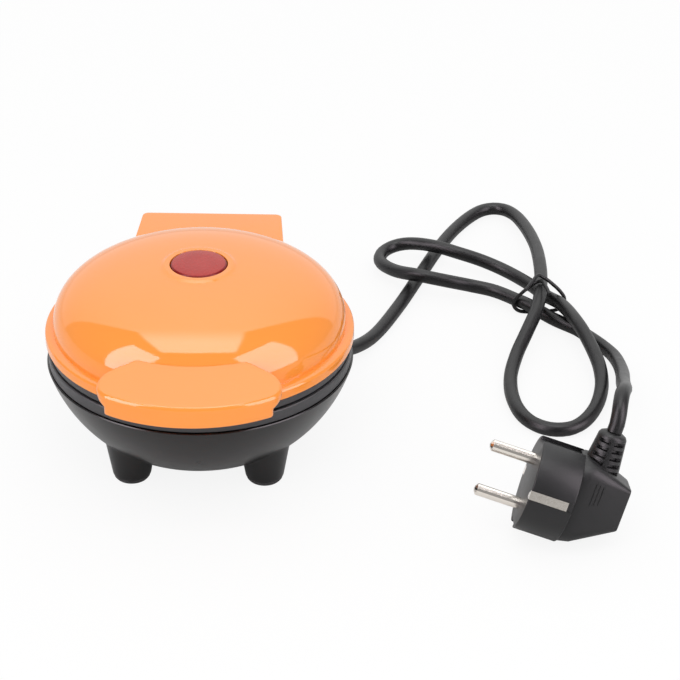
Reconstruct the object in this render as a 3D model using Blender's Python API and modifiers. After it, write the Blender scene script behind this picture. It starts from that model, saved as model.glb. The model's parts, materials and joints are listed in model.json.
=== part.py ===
"""A round countertop cake maker with a hinged domed lid, its mains cord and its angled plug.

Metres, +Z up. The bowl's axis is the vertical through the origin of the empty
cake_maker, the handle is towards -Y and the hinge towards +Y. The feet stand on z = 0.
"""
import math

import bmesh
import bpy
from mathutils import Euler, Matrix, Vector
from mathutils.geometry import interpolate_bezier

# Clearances and overruns
GAP = 0.0003
OVERRUN = 0.002
MERGE = 0.00005

# Facets of round pieces
SHELL_STEPS = 40
PLATE_STEPS = 32
LENS_STEPS = 28
CUP_STEPS = 18
HOLE_STEPS = 10
SCREW_STEPS = 8
CROWN_STEPS = 256
CORD_SIDES_RESOLUTION = 2

# Bowl-shaped base
RIM_RADIUS = 0.0633
RIM_HEIGHT = 0.0436
RIM_CHAMFER = 0.0004
FLOOR_INSET = 0.0303
FLOOR_RADIUS = RIM_RADIUS - FLOOR_INSET
FLOOR_HEIGHT = 0.009
BOWL_SIDE_PULL = 0.019
BOWL_SIDE_LEAN_SHARE = 0.30
BOWL_FLOOR_PULL = 0.0096
BOWL_CURVE_POINTS = 7
BASE_WALL = 0.0022

# Feet and their rubber pads
LEG_INSET = 0.0056
LEG_SPACING = FLOOR_RADIUS - LEG_INSET
LEG_FOOT_RADIUS = 0.0079
LEG_FLARE = 0.0033
LEG_TOP_RADIUS = LEG_FOOT_RADIUS + LEG_FLARE
LEG_BLEND = 0.013
LEG_TOP_HEIGHT = FLOOR_HEIGHT + LEG_BLEND
PAD_INSET = 0.0005
PAD_RADIUS = LEG_FOOT_RADIUS - PAD_INSET
PAD_HEIGHT = 0.002
PAD_STEM_RADIUS = 0.0025
PAD_STEM_HEIGHT = 0.0045

# Hinge and the housing moulded at the back of the base
HOUSING_HALF_WIDTH = 0.022
HOUSING_RISE = 0.0024
HOUSING_TOP = RIM_HEIGHT + HOUSING_RISE
HOUSING_DROP = 0.002
HOUSING_BOTTOM = FLOOR_HEIGHT - HOUSING_DROP
KNUCKLE_RADIUS = 0.0052
HINGE_CLEARANCE = 0.0075
HINGE_Y = RIM_RADIUS + KNUCKLE_RADIUS + HINGE_CLEARANCE
HINGE_Z = HOUSING_TOP + KNUCKLE_RADIUS + GAP
HOUSING_OVERHANG = 0.004
HOUSING_BACK = HINGE_Y + HOUSING_OVERHANG
HOUSING_BACK_DRAFT = 0.0015
HOUSING_CORNER = 0.004
HOUSING_TOE_LENGTH = 0.010
HOUSING_TOE_HEIGHT = 0.005
RING_SEAT_DEPTH = 0.0004
LEAD_BEND = 0.0045
LEAD_RUN = 0.0035
LEAD_SIDE_GAP = 0.005
KNUCKLE_INSET = 0.0015
KNUCKLE_OUTER_X = HOUSING_HALF_WIDTH - KNUCKLE_INSET
KNUCKLE_INNER_X = LEAD_BEND + LEAD_RUN + LEAD_SIDE_GAP
EAR_WIDTH = 0.006
EAR_PLAY = 0.0005
PIN_RADIUS = 0.0018
PIN_INSET = 0.0005

# Cooking plates, four cups below and four shallow domes above
RING_INSET = 0.0007
RING_WALL = 0.0018
RING_LEDGE = 0.0026
RING_LEDGE_THICKNESS = 0.0017
RING_RADIUS = RIM_RADIUS - RING_INSET
RING_INNER_RADIUS = RING_RADIUS - RING_WALL
RING_LEDGE_RADIUS = RING_INNER_RADIUS - RING_LEDGE
PLATE_RADIUS = RING_INNER_RADIUS - GAP
PLATE_THICKNESS = 0.003
PLATE_PROUD = 0.0003
LOWER_BACK = RIM_HEIGHT + RING_LEDGE_THICKNESS + 2 * GAP
LOWER_FACE = LOWER_BACK + PLATE_THICKNESS
RING_TOP = LOWER_FACE - PLATE_PROUD
UPPER_FACE = LOWER_FACE + GAP
UPPER_BACK = UPPER_FACE + PLATE_THICKNESS
CUP_MARGIN = 0.010
CUP_WEB = 0.0082
CUP_RADIUS = (PLATE_RADIUS - CUP_MARGIN - CUP_WEB / math.sqrt(2)) / (1 + math.sqrt(2))
CUP_SPACING = CUP_RADIUS + CUP_WEB / 2
CUP_TAPER = 0.0045
CUP_BOTTOM_RADIUS = CUP_RADIUS - CUP_TAPER
CUP_DEPTH = 0.020
CUP_CORNER = 0.002
CUP_WALL = 0.002
DOME_DEPTH = 0.007
POST_OFFSET = 0.0074
POST_CIRCLE = CUP_SPACING + POST_OFFSET
POST_RADIUS = 0.0032
POST_LENGTH = 0.0186
POST_END = LOWER_FACE - POST_LENGTH

# Screws
SCREW_CLEARANCE = 0.00035
SCREW_HEAD_CLEARANCE = 0.0005
SCREW_SHANK_RADIUS = 0.00145
SCREW_HOLE_RADIUS = SCREW_SHANK_RADIUS + SCREW_CLEARANCE
SCREW_HEAD_RADIUS = 0.0031
SCREW_HEAD_HEIGHT = 0.0015
SCREW_RECESS_RADIUS = SCREW_HEAD_RADIUS + SCREW_HEAD_CLEARANCE
BASE_BOSS_RADIUS = 0.0055
BASE_RECESS_DEPTH = 0.005
BASE_SCREW_REACH = 0.008
LID_BOSS_RADIUS = 0.0034
PLATE_RECESS_DEPTH = SCREW_HEAD_HEIGHT + GAP
PLATE_SCREW_REACH = 0.009
SMALL_SCREW_SHANK_RADIUS = 0.0010
SMALL_SCREW_HOLE_RADIUS = SMALL_SCREW_SHANK_RADIUS + SCREW_CLEARANCE
SMALL_SCREW_HEAD_RADIUS = 0.0022
SMALL_SCREW_HEAD_HEIGHT = 0.0012

# Tubular heating elements
HEATER_TUBE_RADIUS = 0.0028
LOWER_HEATER_INSET = 0.0055
LOWER_HEATER_CIRCLE = PLATE_RADIUS - LOWER_HEATER_INSET
HEATER_GAP_DEG = 16
HEATER_POINTS = 21
HEATER_TAIL = 0.007

# Thermostat, fuse and terminals
THERMOSTAT_RADIUS = 0.0075
THERMOSTAT_FLANGE_HEIGHT = 0.0016
THERMOSTAT_BODY_RADIUS = 0.0066
THERMOSTAT_HEIGHT = 0.009
BLADE_WIDTH = 0.004
BLADE_LENGTH = 0.006
BLADE_THICKNESS = 0.0008
BLADE_SPACING = 0.0035
FUSE_RADIUS = 0.0022
FUSE_LENGTH = 0.015
FUSE_INSET = 0.009
FUSE_Y = LOWER_HEATER_CIRCLE - FUSE_INSET
FUSE_END_RADIUS = 0.0009
FUSE_END_LENGTH = 0.004
TERMINAL_DEPTH = 0.010
TERMINAL_HEIGHT = 0.011
TERMINAL_WALL_GAP = 0.0018
TERMINAL_CLAMP_GAP = 0.007
TERMINAL_BACK_GAP = 0.008
TERMINAL_LEFT = TERMINAL_WALL_GAP + BASE_WALL - HOUSING_HALF_WIDTH
TERMINAL_Y = HOUSING_BACK - TERMINAL_BACK_GAP - TERMINAL_DEPTH / 2
TERMINAL_POLES = 3
TERMINAL_HOLE_RADIUS = 0.0016

# Lid shell
LID_WALL = 0.0024
LID_RING_NECK = 0.0006
FLANGE_OVERHANG = 0.0002
FLANGE_RADIUS = RIM_RADIUS + FLANGE_OVERHANG
FLANGE_BOTTOM = UPPER_BACK + LID_RING_NECK + 2 * GAP
FLANGE_HEIGHT = 0.004
FLANGE_TOP = FLANGE_BOTTOM + FLANGE_HEIGHT
FLANGE_ROUND = 0.0007
FLANGE_STEP = 0.0033
LEDGE_RISE = 0.0008
EAVES_RISE = 0.001
DOME_RADIUS = FLANGE_RADIUS - FLANGE_STEP
DOME_EAVES = FLANGE_TOP + EAVES_RISE
DOME_RISE = 0.0265
DOME_POWER = 2.45
DOME_ANGLES = 7

# Indicator lamp and the collar that it sits in
LENS_RADIUS = 0.0115
LENS_RISE = 0.0006
LENS_CROWN = 0.0004
LENS_FLANGE = 0.0021
LENS_FLANGE_RADIUS = LENS_RADIUS + LENS_FLANGE
LENS_FLANGE_THICKNESS = 0.0011
LENS_WALL = 0.0016
LENS_HOLE_RADIUS = LENS_RADIUS + GAP
COLLAR_WIDTH = 0.0022
COLLAR_SLOPE = 0.0012
COLLAR_TOP_RADIUS = LENS_HOLE_RADIUS + COLLAR_WIDTH
COLLAR_RADIUS = COLLAR_TOP_RADIUS + COLLAR_SLOPE
COLLAR_HEIGHT = 0.0008
LAMP_SEAT_WALL = 0.0015
LAMP_SEAT_CLEARANCE = 0.0005
LAMP_SEAT_RADIUS = LENS_FLANGE_RADIUS + LAMP_SEAT_CLEARANCE + LAMP_SEAT_WALL
LAMP_SEAT_DEPTH = 0.0065
HOLDER_FLANGE_THICKNESS = 0.0012
HOLDER_WALL = 0.005
HOLDER_LENGTH = 0.012
HOLDER_FLOOR = 0.002
NEON_RADIUS = 0.0032
NEON_LENGTH = 0.009
NEON_TIP = 0.0015

# Ring inside the lid's flange
LID_RING_INSET = 0.0015
LID_RING_RADIUS = FLANGE_RADIUS - LID_RING_INSET
LID_RING_INNER_RADIUS = FLANGE_RADIUS - LID_WALL - GAP
LID_RING_LIP = 0.0024
LID_RING_LIP_RADIUS = LID_RING_INNER_RADIUS - LID_RING_LIP
LID_RING_LIP_RISE = 0.0028

# Upper heater and the shield over it
UPPER_HEATER_CLEARANCE = 0.001
UPPER_HEATER_CIRCLE = DOME_RADIUS - LID_WALL - UPPER_HEATER_CLEARANCE - HEATER_TUBE_RADIUS
SHIELD_INSET = 0.004
SHIELD_RADIUS = UPPER_HEATER_CIRCLE - SHIELD_INSET
SHIELD_THICKNESS = 0.0006
SHIELD_LIP = 0.003

# Handle
HANDLE_REACH = 0.0169
HANDLE_FRONT = FLANGE_RADIUS + HANDLE_REACH
HANDLE_FRONT_ARC = 0.061
HANDLE_HALF_WIDTH = 0.0359
HANDLE_END_RADIUS = 0.0086
HANDLE_SEAT_DEPTH = 0.0045
HANDLE_INNER_RADIUS = DOME_RADIUS - HANDLE_SEAT_DEPTH
HANDLE_HORN_SETBACK = 0.0147
HANDLE_HORN_X = HANDLE_HALF_WIDTH - HANDLE_HORN_SETBACK
HANDLE_HORN_ROUND = 0.0015
HANDLE_LIFT = 0.0035
HANDLE_CAP_BOTTOM = FLANGE_TOP + HANDLE_LIFT
HANDLE_SKIRT_DROP = 0.0004
HANDLE_BOTTOM = FLANGE_TOP - HANDLE_SKIRT_DROP
HANDLE_SKIRT_INSET = 0.0033
HANDLE_SKIRT_HALF_WIDTH = HANDLE_HALF_WIDTH - HANDLE_SKIRT_INSET
HANDLE_CAP_HEIGHT = 0.0101
HANDLE_INNER_HEIGHT = HANDLE_CAP_BOTTOM + HANDLE_CAP_HEIGHT
HANDLE_SLOPE_DEG = 12
HANDLE_CROWN_RADIUS = 0.240
HANDLE_WALL = 0.0024
HANDLE_RIBS = 4
HANDLE_RIB_SPACING = 0.0135
HANDLE_RIB_THICKNESS = 0.0014
HANDLE_RIB_HEIGHT = 0.0045
HANDLE_BOSS_X = 0.0078
HANDLE_BOSS_RISE = 0.0023
HANDLE_BOSS_Z = HANDLE_CAP_BOTTOM + HANDLE_BOSS_RISE
HANDLE_BOSS_RADIUS = 0.0028
HANDLE_SCREW_REACH = 0.007
HANDLE_SCREW_SETBACK = 0.0008

# Hinge cover
EAR_INNER_X = KNUCKLE_OUTER_X + EAR_PLAY
EAR_OUTER_X = EAR_INNER_X + EAR_WIDTH
EAR_MIDDLE_X = EAR_INNER_X + EAR_WIDTH / 2
ARM_RISE = 0.0005
ARM_TOP = HINGE_Z + KNUCKLE_RADIUS + ARM_RISE
COVER_OVERHANG = 0.0129
COVER_BACK = HINGE_Y + COVER_OVERHANG
COVER_FRONT_INSET = 0.009
COVER_FRONT = FLANGE_RADIUS - COVER_FRONT_INSET
COVER_SIDE_OVERHANG = 0.0038
COVER_BACK_HALF_WIDTH = EAR_OUTER_X + COVER_SIDE_OVERHANG
COVER_FLARE = 0.0028
COVER_FRONT_HALF_WIDTH = COVER_BACK_HALF_WIDTH + COVER_FLARE
COVER_CORNER = 0.0028
COVER_LIFT = 0.0005
COVER_BOTTOM = ARM_TOP + COVER_LIFT
COVER_HEIGHT = 0.005
COVER_TOP = COVER_BOTTOM + COVER_HEIGHT
COVER_PLATE = 0.0022
COVER_WALL = 0.002
COVER_BOSS_OFFSET = 0.0095
COVER_BOSS_Y = HINGE_Y - COVER_BOSS_OFFSET
COVER_BOSS_RADIUS = 0.0028

# Leads that pass from the base to the lid along the hinge's axis
LEAD_RADIUS = 0.0017
LEAD_HOLE_RADIUS = 0.0023
BASE_LEAD_X = -LEAD_BEND - LEAD_RUN
BASE_LEAD_DROP = 0.0095
BASE_LEAD_SWAY = 0.003
BASE_LEAD_ENTRY = 0.0011
BASE_LEAD_STRAIGHT = RIM_HEIGHT - BASE_WALL + BASE_LEAD_ENTRY
BASE_LEAD_LOW = BASE_LEAD_STRAIGHT - BASE_LEAD_DROP
LID_LEAD_X = LEAD_BEND + LEAD_RUN
LID_LEAD_HEADROOM = 0.001
LID_LEAD_HEIGHT = COVER_TOP - COVER_PLATE - LID_LEAD_HEADROOM - LEAD_RADIUS
LID_LEAD_INSET = 0.0077
LID_LEAD_END = DOME_RADIUS - LID_LEAD_INSET

# Strain relief at the housing's side
GLAND_BACK_OFFSET = 0.022
GLAND_Y = HOUSING_BACK - GLAND_BACK_OFFSET
GLAND_NECK_RADIUS = 0.0039
GLAND_COLLAR_RADIUS = 0.0050
GLAND_Z = HOUSING_BOTTOM + BASE_WALL + GLAND_COLLAR_RADIUS + GAP
GLAND_COLLAR_THICKNESS = 0.0018
GLAND_LENGTH = 0.0225
GLAND_START_RADIUS = 0.0045
GLAND_END_RADIUS = 0.0038
GLAND_GROOVES = 3
GLAND_GROOVE_DEPTH = 0.0007
GLAND_STUB = 0.009
CLAMP_LENGTH = 0.005
CLAMP_HALF_WIDTH = 0.0075
CLAMP_THICKNESS = 0.0025
CLAMP_FOOT_GAP = 0.0005

# Mains cord
CORD_RADIUS = 0.0031
CORD_STEP = 0.0124
CORD_ROUTE = (
    (0.0525, 0.0581, 0.0136), (0.0575, 0.0605, 0.0108), (0.0632, 0.0681, 0.0066), (0.0727, 0.0842, 0.0036),
    (0.0838, 0.1108, 0.0033), (0.0943, 0.1410, 0.0033), (0.1052, 0.1724, 0.0033), (0.1144, 0.1930, 0.0034),
    (0.1250, 0.2085, 0.0038), (0.1326, 0.2122, 0.0042), (0.1398, 0.2085, 0.0050), (0.1456, 0.1950, 0.0066),
    (0.1505, 0.1644, 0.0102), (0.1513, 0.1355, 0.0130), (0.1499, 0.1115, 0.0136), (0.1470, 0.0945, 0.0126),
    (0.1420, 0.0808, 0.0090), (0.1366, 0.0664, 0.0050), (0.1331, 0.0486, 0.0034), (0.1338, 0.0292, 0.0033),
    (0.1388, 0.0150, 0.0033), (0.1478, 0.0080, 0.0033), (0.1582, 0.0096, 0.0034), (0.1668, 0.0200, 0.0044),
    (0.1720, 0.0365, 0.0058), (0.1726, 0.0520, 0.0076), (0.1699, 0.0672, 0.0098), (0.1653, 0.0838, 0.0118),
    (0.1592, 0.1060, 0.0094), (0.1533, 0.1182, 0.0068), (0.1464, 0.1319, 0.0054), (0.1359, 0.1442, 0.0056),
    (0.1249, 0.1500, 0.0078), (0.1135, 0.1527, 0.0104), (0.1023, 0.1577, 0.0112), (0.0911, 0.1640, 0.0092),
    (0.0830, 0.1650, 0.0072), (0.0770, 0.1590, 0.0064), (0.0763, 0.1490, 0.0068), (0.0830, 0.1370, 0.0088),
    (0.0940, 0.1280, 0.0114), (0.1071, 0.1262, 0.0096), (0.1184, 0.1271, 0.0068), (0.1294, 0.1245, 0.0056),
    (0.1400, 0.1162, 0.0054), (0.1452, 0.1117, 0.0053), (0.1555, 0.1018, 0.0040), (0.1659, 0.0935, 0.0034),
    (0.1698, 0.0883, 0.0033), (0.1736, 0.0829, 0.0033), (0.1773, 0.0764, 0.0036), (0.1801, 0.0676, 0.0050),
    (0.1811, 0.0545, 0.0085), (0.1803, 0.0350, 0.0155), (0.1773, 0.0085, 0.0268), (0.1744, -0.0180, 0.0402),
    (0.1723, -0.0325, 0.0484), (0.1709, -0.0400, 0.0522), (0.1697, -0.0458, 0.0537), (0.1687, -0.0508, 0.0526),
    (0.1680, -0.0543, 0.0500),
)

# Wire tie round the bundled cord
TIE_WIRE_RADIUS = 0.0009
TIE_ROUTE = (
    (0.1530, 0.0995, 0.0182), (0.1516, 0.1055, 0.0190), (0.1499, 0.1119, 0.0182), (0.1463, 0.1120, 0.0164),
    (0.1398, 0.1122, 0.0097), (0.1378, 0.1124, 0.0057), (0.1392, 0.1126, 0.0027), (0.1422, 0.1128, 0.00130),
    (0.1500, 0.1131, 0.00135), (0.1577, 0.1134, 0.0021), (0.1604, 0.1136, 0.0040), (0.1616, 0.1138, 0.0076),
    (0.1594, 0.1140, 0.0116), (0.1540, 0.1142, 0.0168), (0.1514, 0.1143, 0.0186), (0.1486, 0.1133, 0.0205),
    (0.1458, 0.1082, 0.0202), (0.1422, 0.1024, 0.0186),
)

# Plug, in its own frame: X into the body, Y towards the cord, Z through the body
PLUG_PLACE = (0.1327, -0.0631, 0.0239)
PLUG_TURN_DEG = (71.4, 16.8, -6.5)
PLUG_DRUM_RADIUS = 0.0192
PLUG_DRUM_DEPTH = 0.0178
PLUG_HOOD_LENGTH = 0.0212
PLUG_HOOD_DEPTH = PLUG_DRUM_DEPTH + PLUG_HOOD_LENGTH
PLUG_HOOD_LOW = -0.006
PLUG_HOOD_HIGH = 0.0115
PLUG_HOOD_HALF_THICKNESS = 0.0085
PLUG_HOOD_SHOULDER_INSET = 0.0047
PLUG_HOOD_SHOULDER = PLUG_DRUM_RADIUS - PLUG_HOOD_SHOULDER_INSET
PLUG_NECK_OFFSET = 0.0077
PLUG_NECK_X = PLUG_DRUM_DEPTH + PLUG_NECK_OFFSET
PLUG_NECK_RADIUS = 0.0082
PLUG_NECK_TAPER = 0.003
PLUG_NECK_END_RADIUS = PLUG_NECK_RADIUS - PLUG_NECK_TAPER
PLUG_NECK_START = 0.008
PLUG_NECK_LENGTH = 0.022
PLUG_NECK_END = PLUG_NECK_START + PLUG_NECK_LENGTH
PLUG_NECK_GROOVES = 3
PLUG_NECK_GROOVE_DEPTH = 0.0008
PLUG_FLAT_HALF_WIDTH = 0.0045
PLUG_FLAT_DEPTH = 0.002
PLUG_PIN_SPACING = 0.0095
PLUG_PIN_RADIUS = 0.0024
PLUG_PIN_LENGTH = 0.019
PLUG_PIN_TIP = 0.0012
PLUG_PIN_ROOT = 0.006
PLUG_CLIP_WIDTH = 0.0036
PLUG_CLIP_END_INSET = 0.0023
PLUG_CLIP_LENGTH = PLUG_DRUM_DEPTH - PLUG_CLIP_END_INSET
PLUG_CLIP_THICKNESS = 0.0008
PLUG_CLIP_TURN_IN = 0.004

# Colour, roughness and metallic value of each finish
FINISHES = {
    "orange_gloss": ((1.0, 0.43, 0.11), 0.18, 0.0),
    "black_gloss": ((0.018, 0.018, 0.020), 0.25, 0.0),
    "dark_grey": ((0.055, 0.056, 0.060), 0.45, 0.0),
    "nonstick": ((0.030, 0.030, 0.032), 0.40, 0.2),
    "rubber": ((0.015, 0.015, 0.015), 0.75, 0.0),
    "cord_black": ((0.012, 0.012, 0.013), 0.45, 0.0),
    "plug_black": ((0.020, 0.020, 0.021), 0.50, 0.0),
    "nickel": ((0.62, 0.58, 0.53), 0.22, 1.0),
    "steel": ((0.45, 0.45, 0.46), 0.35, 1.0),
    "aluminium": ((0.70, 0.70, 0.71), 0.30, 1.0),
    "red_lens": ((0.50, 0.03, 0.04), 0.15, 0.0),
    "white_ceramic": ((0.78, 0.76, 0.70), 0.60, 0.0),
    "white_plastic": ((0.72, 0.72, 0.70), 0.45, 0.0),
    "sleeve_white": ((0.66, 0.64, 0.58), 0.80, 0.0),
    "lamp_glass": ((0.85, 0.55, 0.40), 0.08, 0.0),
}

CORNERS = ((-1, -1, "front_left"), (1, -1, "front_right"), (-1, 1, "rear_left"), (1, 1, "rear_right"))
QUARTERS = ((1, 0, "right"), (0, 1, "rear"), (-1, 0, "left"), (0, -1, "front"))
SIDES = ((-1, "left"), (1, "right"))

# Sizes worked out from the driving ones
MAKER_SHIFT = (HANDLE_FRONT - COVER_BACK) / 2
LEG_BOTTOM = PAD_HEIGHT + GAP
ARM_FRONT = math.sqrt((FLANGE_RADIUS - LID_WALL / 2) ** 2 - EAR_OUTER_X ** 2)
SHIELD_BOTTOM = UPPER_BACK + DOME_DEPTH - PLATE_THICKNESS + CUP_WALL + GAP
GLAND_OUTER_X = HOUSING_HALF_WIDTH + GAP
GLAND_END_X = GLAND_OUTER_X + GLAND_COLLAR_THICKNESS + GLAND_LENGTH
GLAND_STUB_END = GLAND_OUTER_X - 2 * GAP - BASE_WALL - GLAND_COLLAR_THICKNESS - GLAND_STUB
CLAMP_LEFT = GLAND_STUB_END + GLAND_STUB / 4
TERMINAL_LENGTH = CLAMP_LEFT - TERMINAL_CLAMP_GAP - TERMINAL_LEFT
HOUSING_FRONT = GLAND_Y - CLAMP_HALF_WIDTH - CLAMP_FOOT_GAP - HOUSING_TOE_LENGTH
HOUSING_FLOOR = HOUSING_BOTTOM + BASE_WALL
HOUSING_CEILING = RIM_HEIGHT - BASE_WALL


def clear_scene():
    """Remove every object and every collection of the open scene."""
    for item in list(bpy.data.objects):
        bpy.data.objects.remove(item, do_unlink=True)
    for group in list(bpy.data.collections):
        bpy.data.collections.remove(group)


def add_collection(name):
    """A new collection linked to the scene."""
    group = bpy.data.collections.new(name)
    bpy.context.scene.collection.children.link(group)
    return group


clear_scene()
PARTS = add_collection("cake_maker_parts")
CUTTERS = add_collection("cutters")


def add_carrier(name, place, turn_deg=(0, 0, 0), parent=None):
    """An empty that carries the pieces of one body."""
    carrier = bpy.data.objects.new(name, None)
    PARTS.objects.link(carrier)
    carrier.parent = parent
    carrier.location = place
    carrier.rotation_euler = Euler([math.radians(angle) for angle in turn_deg])
    return carrier


MAKER = add_carrier("cake_maker", (0, MAKER_SHIFT, 0))
LID_PIVOT = add_carrier("lid_pivot", (0, HINGE_Y, HINGE_Z), parent=MAKER)
PLUG_FRAME = add_carrier("plug_frame", PLUG_PLACE, PLUG_TURN_DEG, MAKER)
CARRIERS = {
    "base": (MAKER, Vector((0, 0, 0))),
    "lid": (LID_PIVOT, Vector((0, HINGE_Y, HINGE_Z))),
    "plug": (PLUG_FRAME, Vector((0, 0, 0))),
}


def material(name):
    """The Principled material of a finish, made once."""
    found = bpy.data.materials.get(name)
    if found:
        return found
    colour, roughness, metallic = FINISHES[name]
    made = bpy.data.materials.new(name)
    made.use_nodes = True
    shader = made.node_tree.nodes["Principled BSDF"]
    shader.inputs["Base Color"].default_value = (*colour, 1)
    shader.inputs["Roughness"].default_value = roughness
    shader.inputs["Metallic"].default_value = metallic
    made.diffuse_color = (*colour, 1)
    return made


def carry(item, body):
    """Parent an object to its body's empty, with its mesh in the bowl's or the plug's frame."""
    carrier, origin = CARRIERS[body]
    item.parent = carrier
    item.location = item.location - origin


def add_part(name, mesh, body, finish, place=(0, 0, 0), turn=None):
    """A named piece of the object."""
    own = material(finish).copy()
    own.name = name + "_finish"
    mesh.materials.clear()
    mesh.materials.append(own)
    piece = bpy.data.objects.new(name, mesh)
    PARTS.objects.link(piece)
    piece.location = place
    if turn:
        piece.rotation_euler = turn
    carry(piece, body)
    return piece


def add_tool(name, mesh, body, place=(0, 0, 0), turn=None):
    """A hidden solid that is joined to a piece or cut from it."""
    tool = bpy.data.objects.new(name, mesh)
    CUTTERS.objects.link(tool)
    tool.hide_render = True
    tool.display_type = "WIRE"
    tool.location = place
    if turn:
        tool.rotation_euler = turn
    carry(tool, body)
    return tool


def combine(piece, tool, operation, solver="EXACT"):
    """One Boolean step on a piece."""
    step = piece.modifiers.new(operation.lower() + "_" + tool.name, "BOOLEAN")
    step.operation = operation
    step.solver = solver
    step.object = tool


def join(piece, *tools, solver="EXACT"):
    """Join tools to a piece."""
    for tool in tools:
        combine(piece, tool, "UNION", solver)


def cut(piece, *tools, solver="EXACT"):
    """Cut tools from a piece."""
    for tool in tools:
        combine(piece, tool, "DIFFERENCE", solver)


def trim(piece, tool):
    """Keep what lies inside a tool."""
    combine(piece, tool, "INTERSECT")


def spin_profile(item, steps):
    """Turn an object's profile of edges round its Z axis."""
    turn = item.modifiers.new("turn", "SCREW")
    turn.axis = "Z"
    turn.steps = steps
    turn.render_steps = steps
    turn.use_merge_vertices = True
    turn.merge_threshold = MERGE
    turn.use_smooth_shade = True
    return item


def mirrored(tool):
    """Add a tool's mirror image on the other side of the middle plane."""
    other = tool.modifiers.new("other_side", "MIRROR")
    other.use_mirror_merge = False
    return tool


def four_ways(tool):
    """Repeat a tool that stands over the front left cup over all four cups."""
    for axis, label in ((0, "across"), (1, "back")):
        repeat = tool.modifiers.new(label, "ARRAY")
        repeat.use_relative_offset = False
        repeat.use_constant_offset = True
        offset = [0, 0, 0]
        offset[axis] = 2 * CUP_SPACING
        repeat.constant_offset_displace = offset
    return tool


def profile_mesh(name, profile, closed, swing=0):
    """A chain of edges in an upright plane through the Z axis, from (radius, height) pairs."""
    mesh = bpy.data.meshes.new(name)
    points = [(radius * math.cos(swing), radius * math.sin(swing), height) for radius, height in profile]
    links = [(i, i + 1) for i in range(len(points) - 1)]
    if closed:
        links.append((len(points) - 1, 0))
    mesh.from_pydata(points, links, [])
    return mesh


def turned_part(name, profile, body, finish, steps, closed=False, place=(0, 0, 0), turn=None):
    """A turned piece. The profile runs down its outer side."""
    return spin_profile(add_part(name, profile_mesh(name, profile, closed), body, finish, place, turn), steps)


def turned_tool(name, profile, body, steps, closed=False, place=(0, 0, 0), turn=None):
    """A turned hidden solid."""
    return spin_profile(add_tool(name, profile_mesh(name, profile, closed), body, place, turn), steps)


def shell_tool(name, profile, body):
    """A turned hidden solid whose facet edges fall between those of the shells that it cuts."""
    mesh = profile_mesh(name, profile, False, math.pi / SHELL_STEPS)
    return spin_profile(add_tool(name, mesh, body), SHELL_STEPS)


def outline_mesh(name, outline, thickness, turn=Matrix.Identity(4)):
    """A flat outline with a thickness, centred on its plane, as one welded mesh."""
    curve = bpy.data.curves.new(name, "CURVE")
    curve.dimensions = "2D"
    curve.fill_mode = "BOTH"
    curve.extrude = thickness / 2
    spline = curve.splines.new("POLY")
    spline.points.add(len(outline) - 1)
    for point, (x, y) in zip(spline.points, outline):
        point.co = (x, y, 0, 1)
    spline.use_cyclic_u = True
    return welded_mesh(name, curve, turn)


def welded_mesh(name, curve, turn=Matrix.Identity(4)):
    """The mesh of a curve, with its caps welded on."""
    source = bpy.data.objects.new(name + "_curve", curve)
    bpy.context.scene.collection.objects.link(source)
    mesh = bpy.data.meshes.new_from_object(source.evaluated_get(bpy.context.evaluated_depsgraph_get()))
    bpy.data.objects.remove(source, do_unlink=True)
    shape = bmesh.new()
    shape.from_mesh(mesh)
    bmesh.ops.remove_doubles(shape, verts=shape.verts, dist=MERGE / 5)
    bmesh.ops.recalc_face_normals(shape, faces=shape.faces)
    bmesh.ops.transform(shape, matrix=turn, verts=shape.verts)
    shape.to_mesh(mesh)
    shape.free()
    mesh.name = name
    return mesh


def upright(outline, low, high, name):
    """An outline in the XY plane, extruded from one height to another."""
    return outline_mesh(name, outline, high - low, Matrix.Translation((0, 0, (low + high) / 2)))


SIDEWAYS = Matrix(((0, 0, 1, 0), (1, 0, 0, 0), (0, 1, 0, 0), (0, 0, 0, 1)))


def side_slab(outline, left, right, name):
    """An outline in the YZ plane, extruded along X from left to right."""
    turn = Matrix.Translation(((left + right) / 2, 0, 0)) @ SIDEWAYS
    return outline_mesh(name, outline, right - left, turn)


def block_mesh(name, low, high):
    """A box between two corners."""
    shape = bmesh.new()
    bmesh.ops.create_cube(shape, size=1)
    size = Vector(high) - Vector(low)
    middle = (Vector(high) + Vector(low)) / 2
    bmesh.ops.transform(shape, matrix=Matrix.Translation(middle) @ Matrix.Diagonal((*size, 1)), verts=shape.verts)
    return finished_mesh(name, shape)


def finished_mesh(name, shape):
    """Turn a bmesh into a mesh."""
    bmesh.ops.recalc_face_normals(shape, faces=shape.faces)
    mesh = bpy.data.meshes.new(name)
    shape.to_mesh(mesh)
    shape.free()
    return mesh


def pegs_mesh(name, places, low_radius, high_radius, low, high, steps):
    """Upright round pegs or cones at several (x, y) places."""
    shape = bmesh.new()
    for x, y in places:
        middle = Matrix.Translation((x, y, (low + high) / 2))
        bmesh.ops.create_cone(shape, cap_ends=True, segments=steps, radius1=low_radius, radius2=high_radius,
                              depth=high - low, matrix=middle)
    return finished_mesh(name, shape)


def rods_mesh(name, centres, radius, length, axis, steps):
    """Round rods along X or Y, centred on several points."""
    swing = Matrix.Rotation(math.pi / 2, 4, "Y" if axis == "X" else "X")
    shape = bmesh.new()
    for centre in centres:
        bmesh.ops.create_cone(shape, cap_ends=True, segments=steps, radius1=radius, radius2=radius,
                              depth=length, matrix=Matrix.Translation(centre) @ swing)
    return finished_mesh(name, shape)


def arc(centre, radius, start_deg, end_deg, steps):
    """Points on an arc, both ends included."""
    points = []
    for i in range(steps + 1):
        angle = math.radians(start_deg + (end_deg - start_deg) * i / steps)
        points.append((centre[0] + radius * math.cos(angle), centre[1] + radius * math.sin(angle)))
    return points


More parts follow.
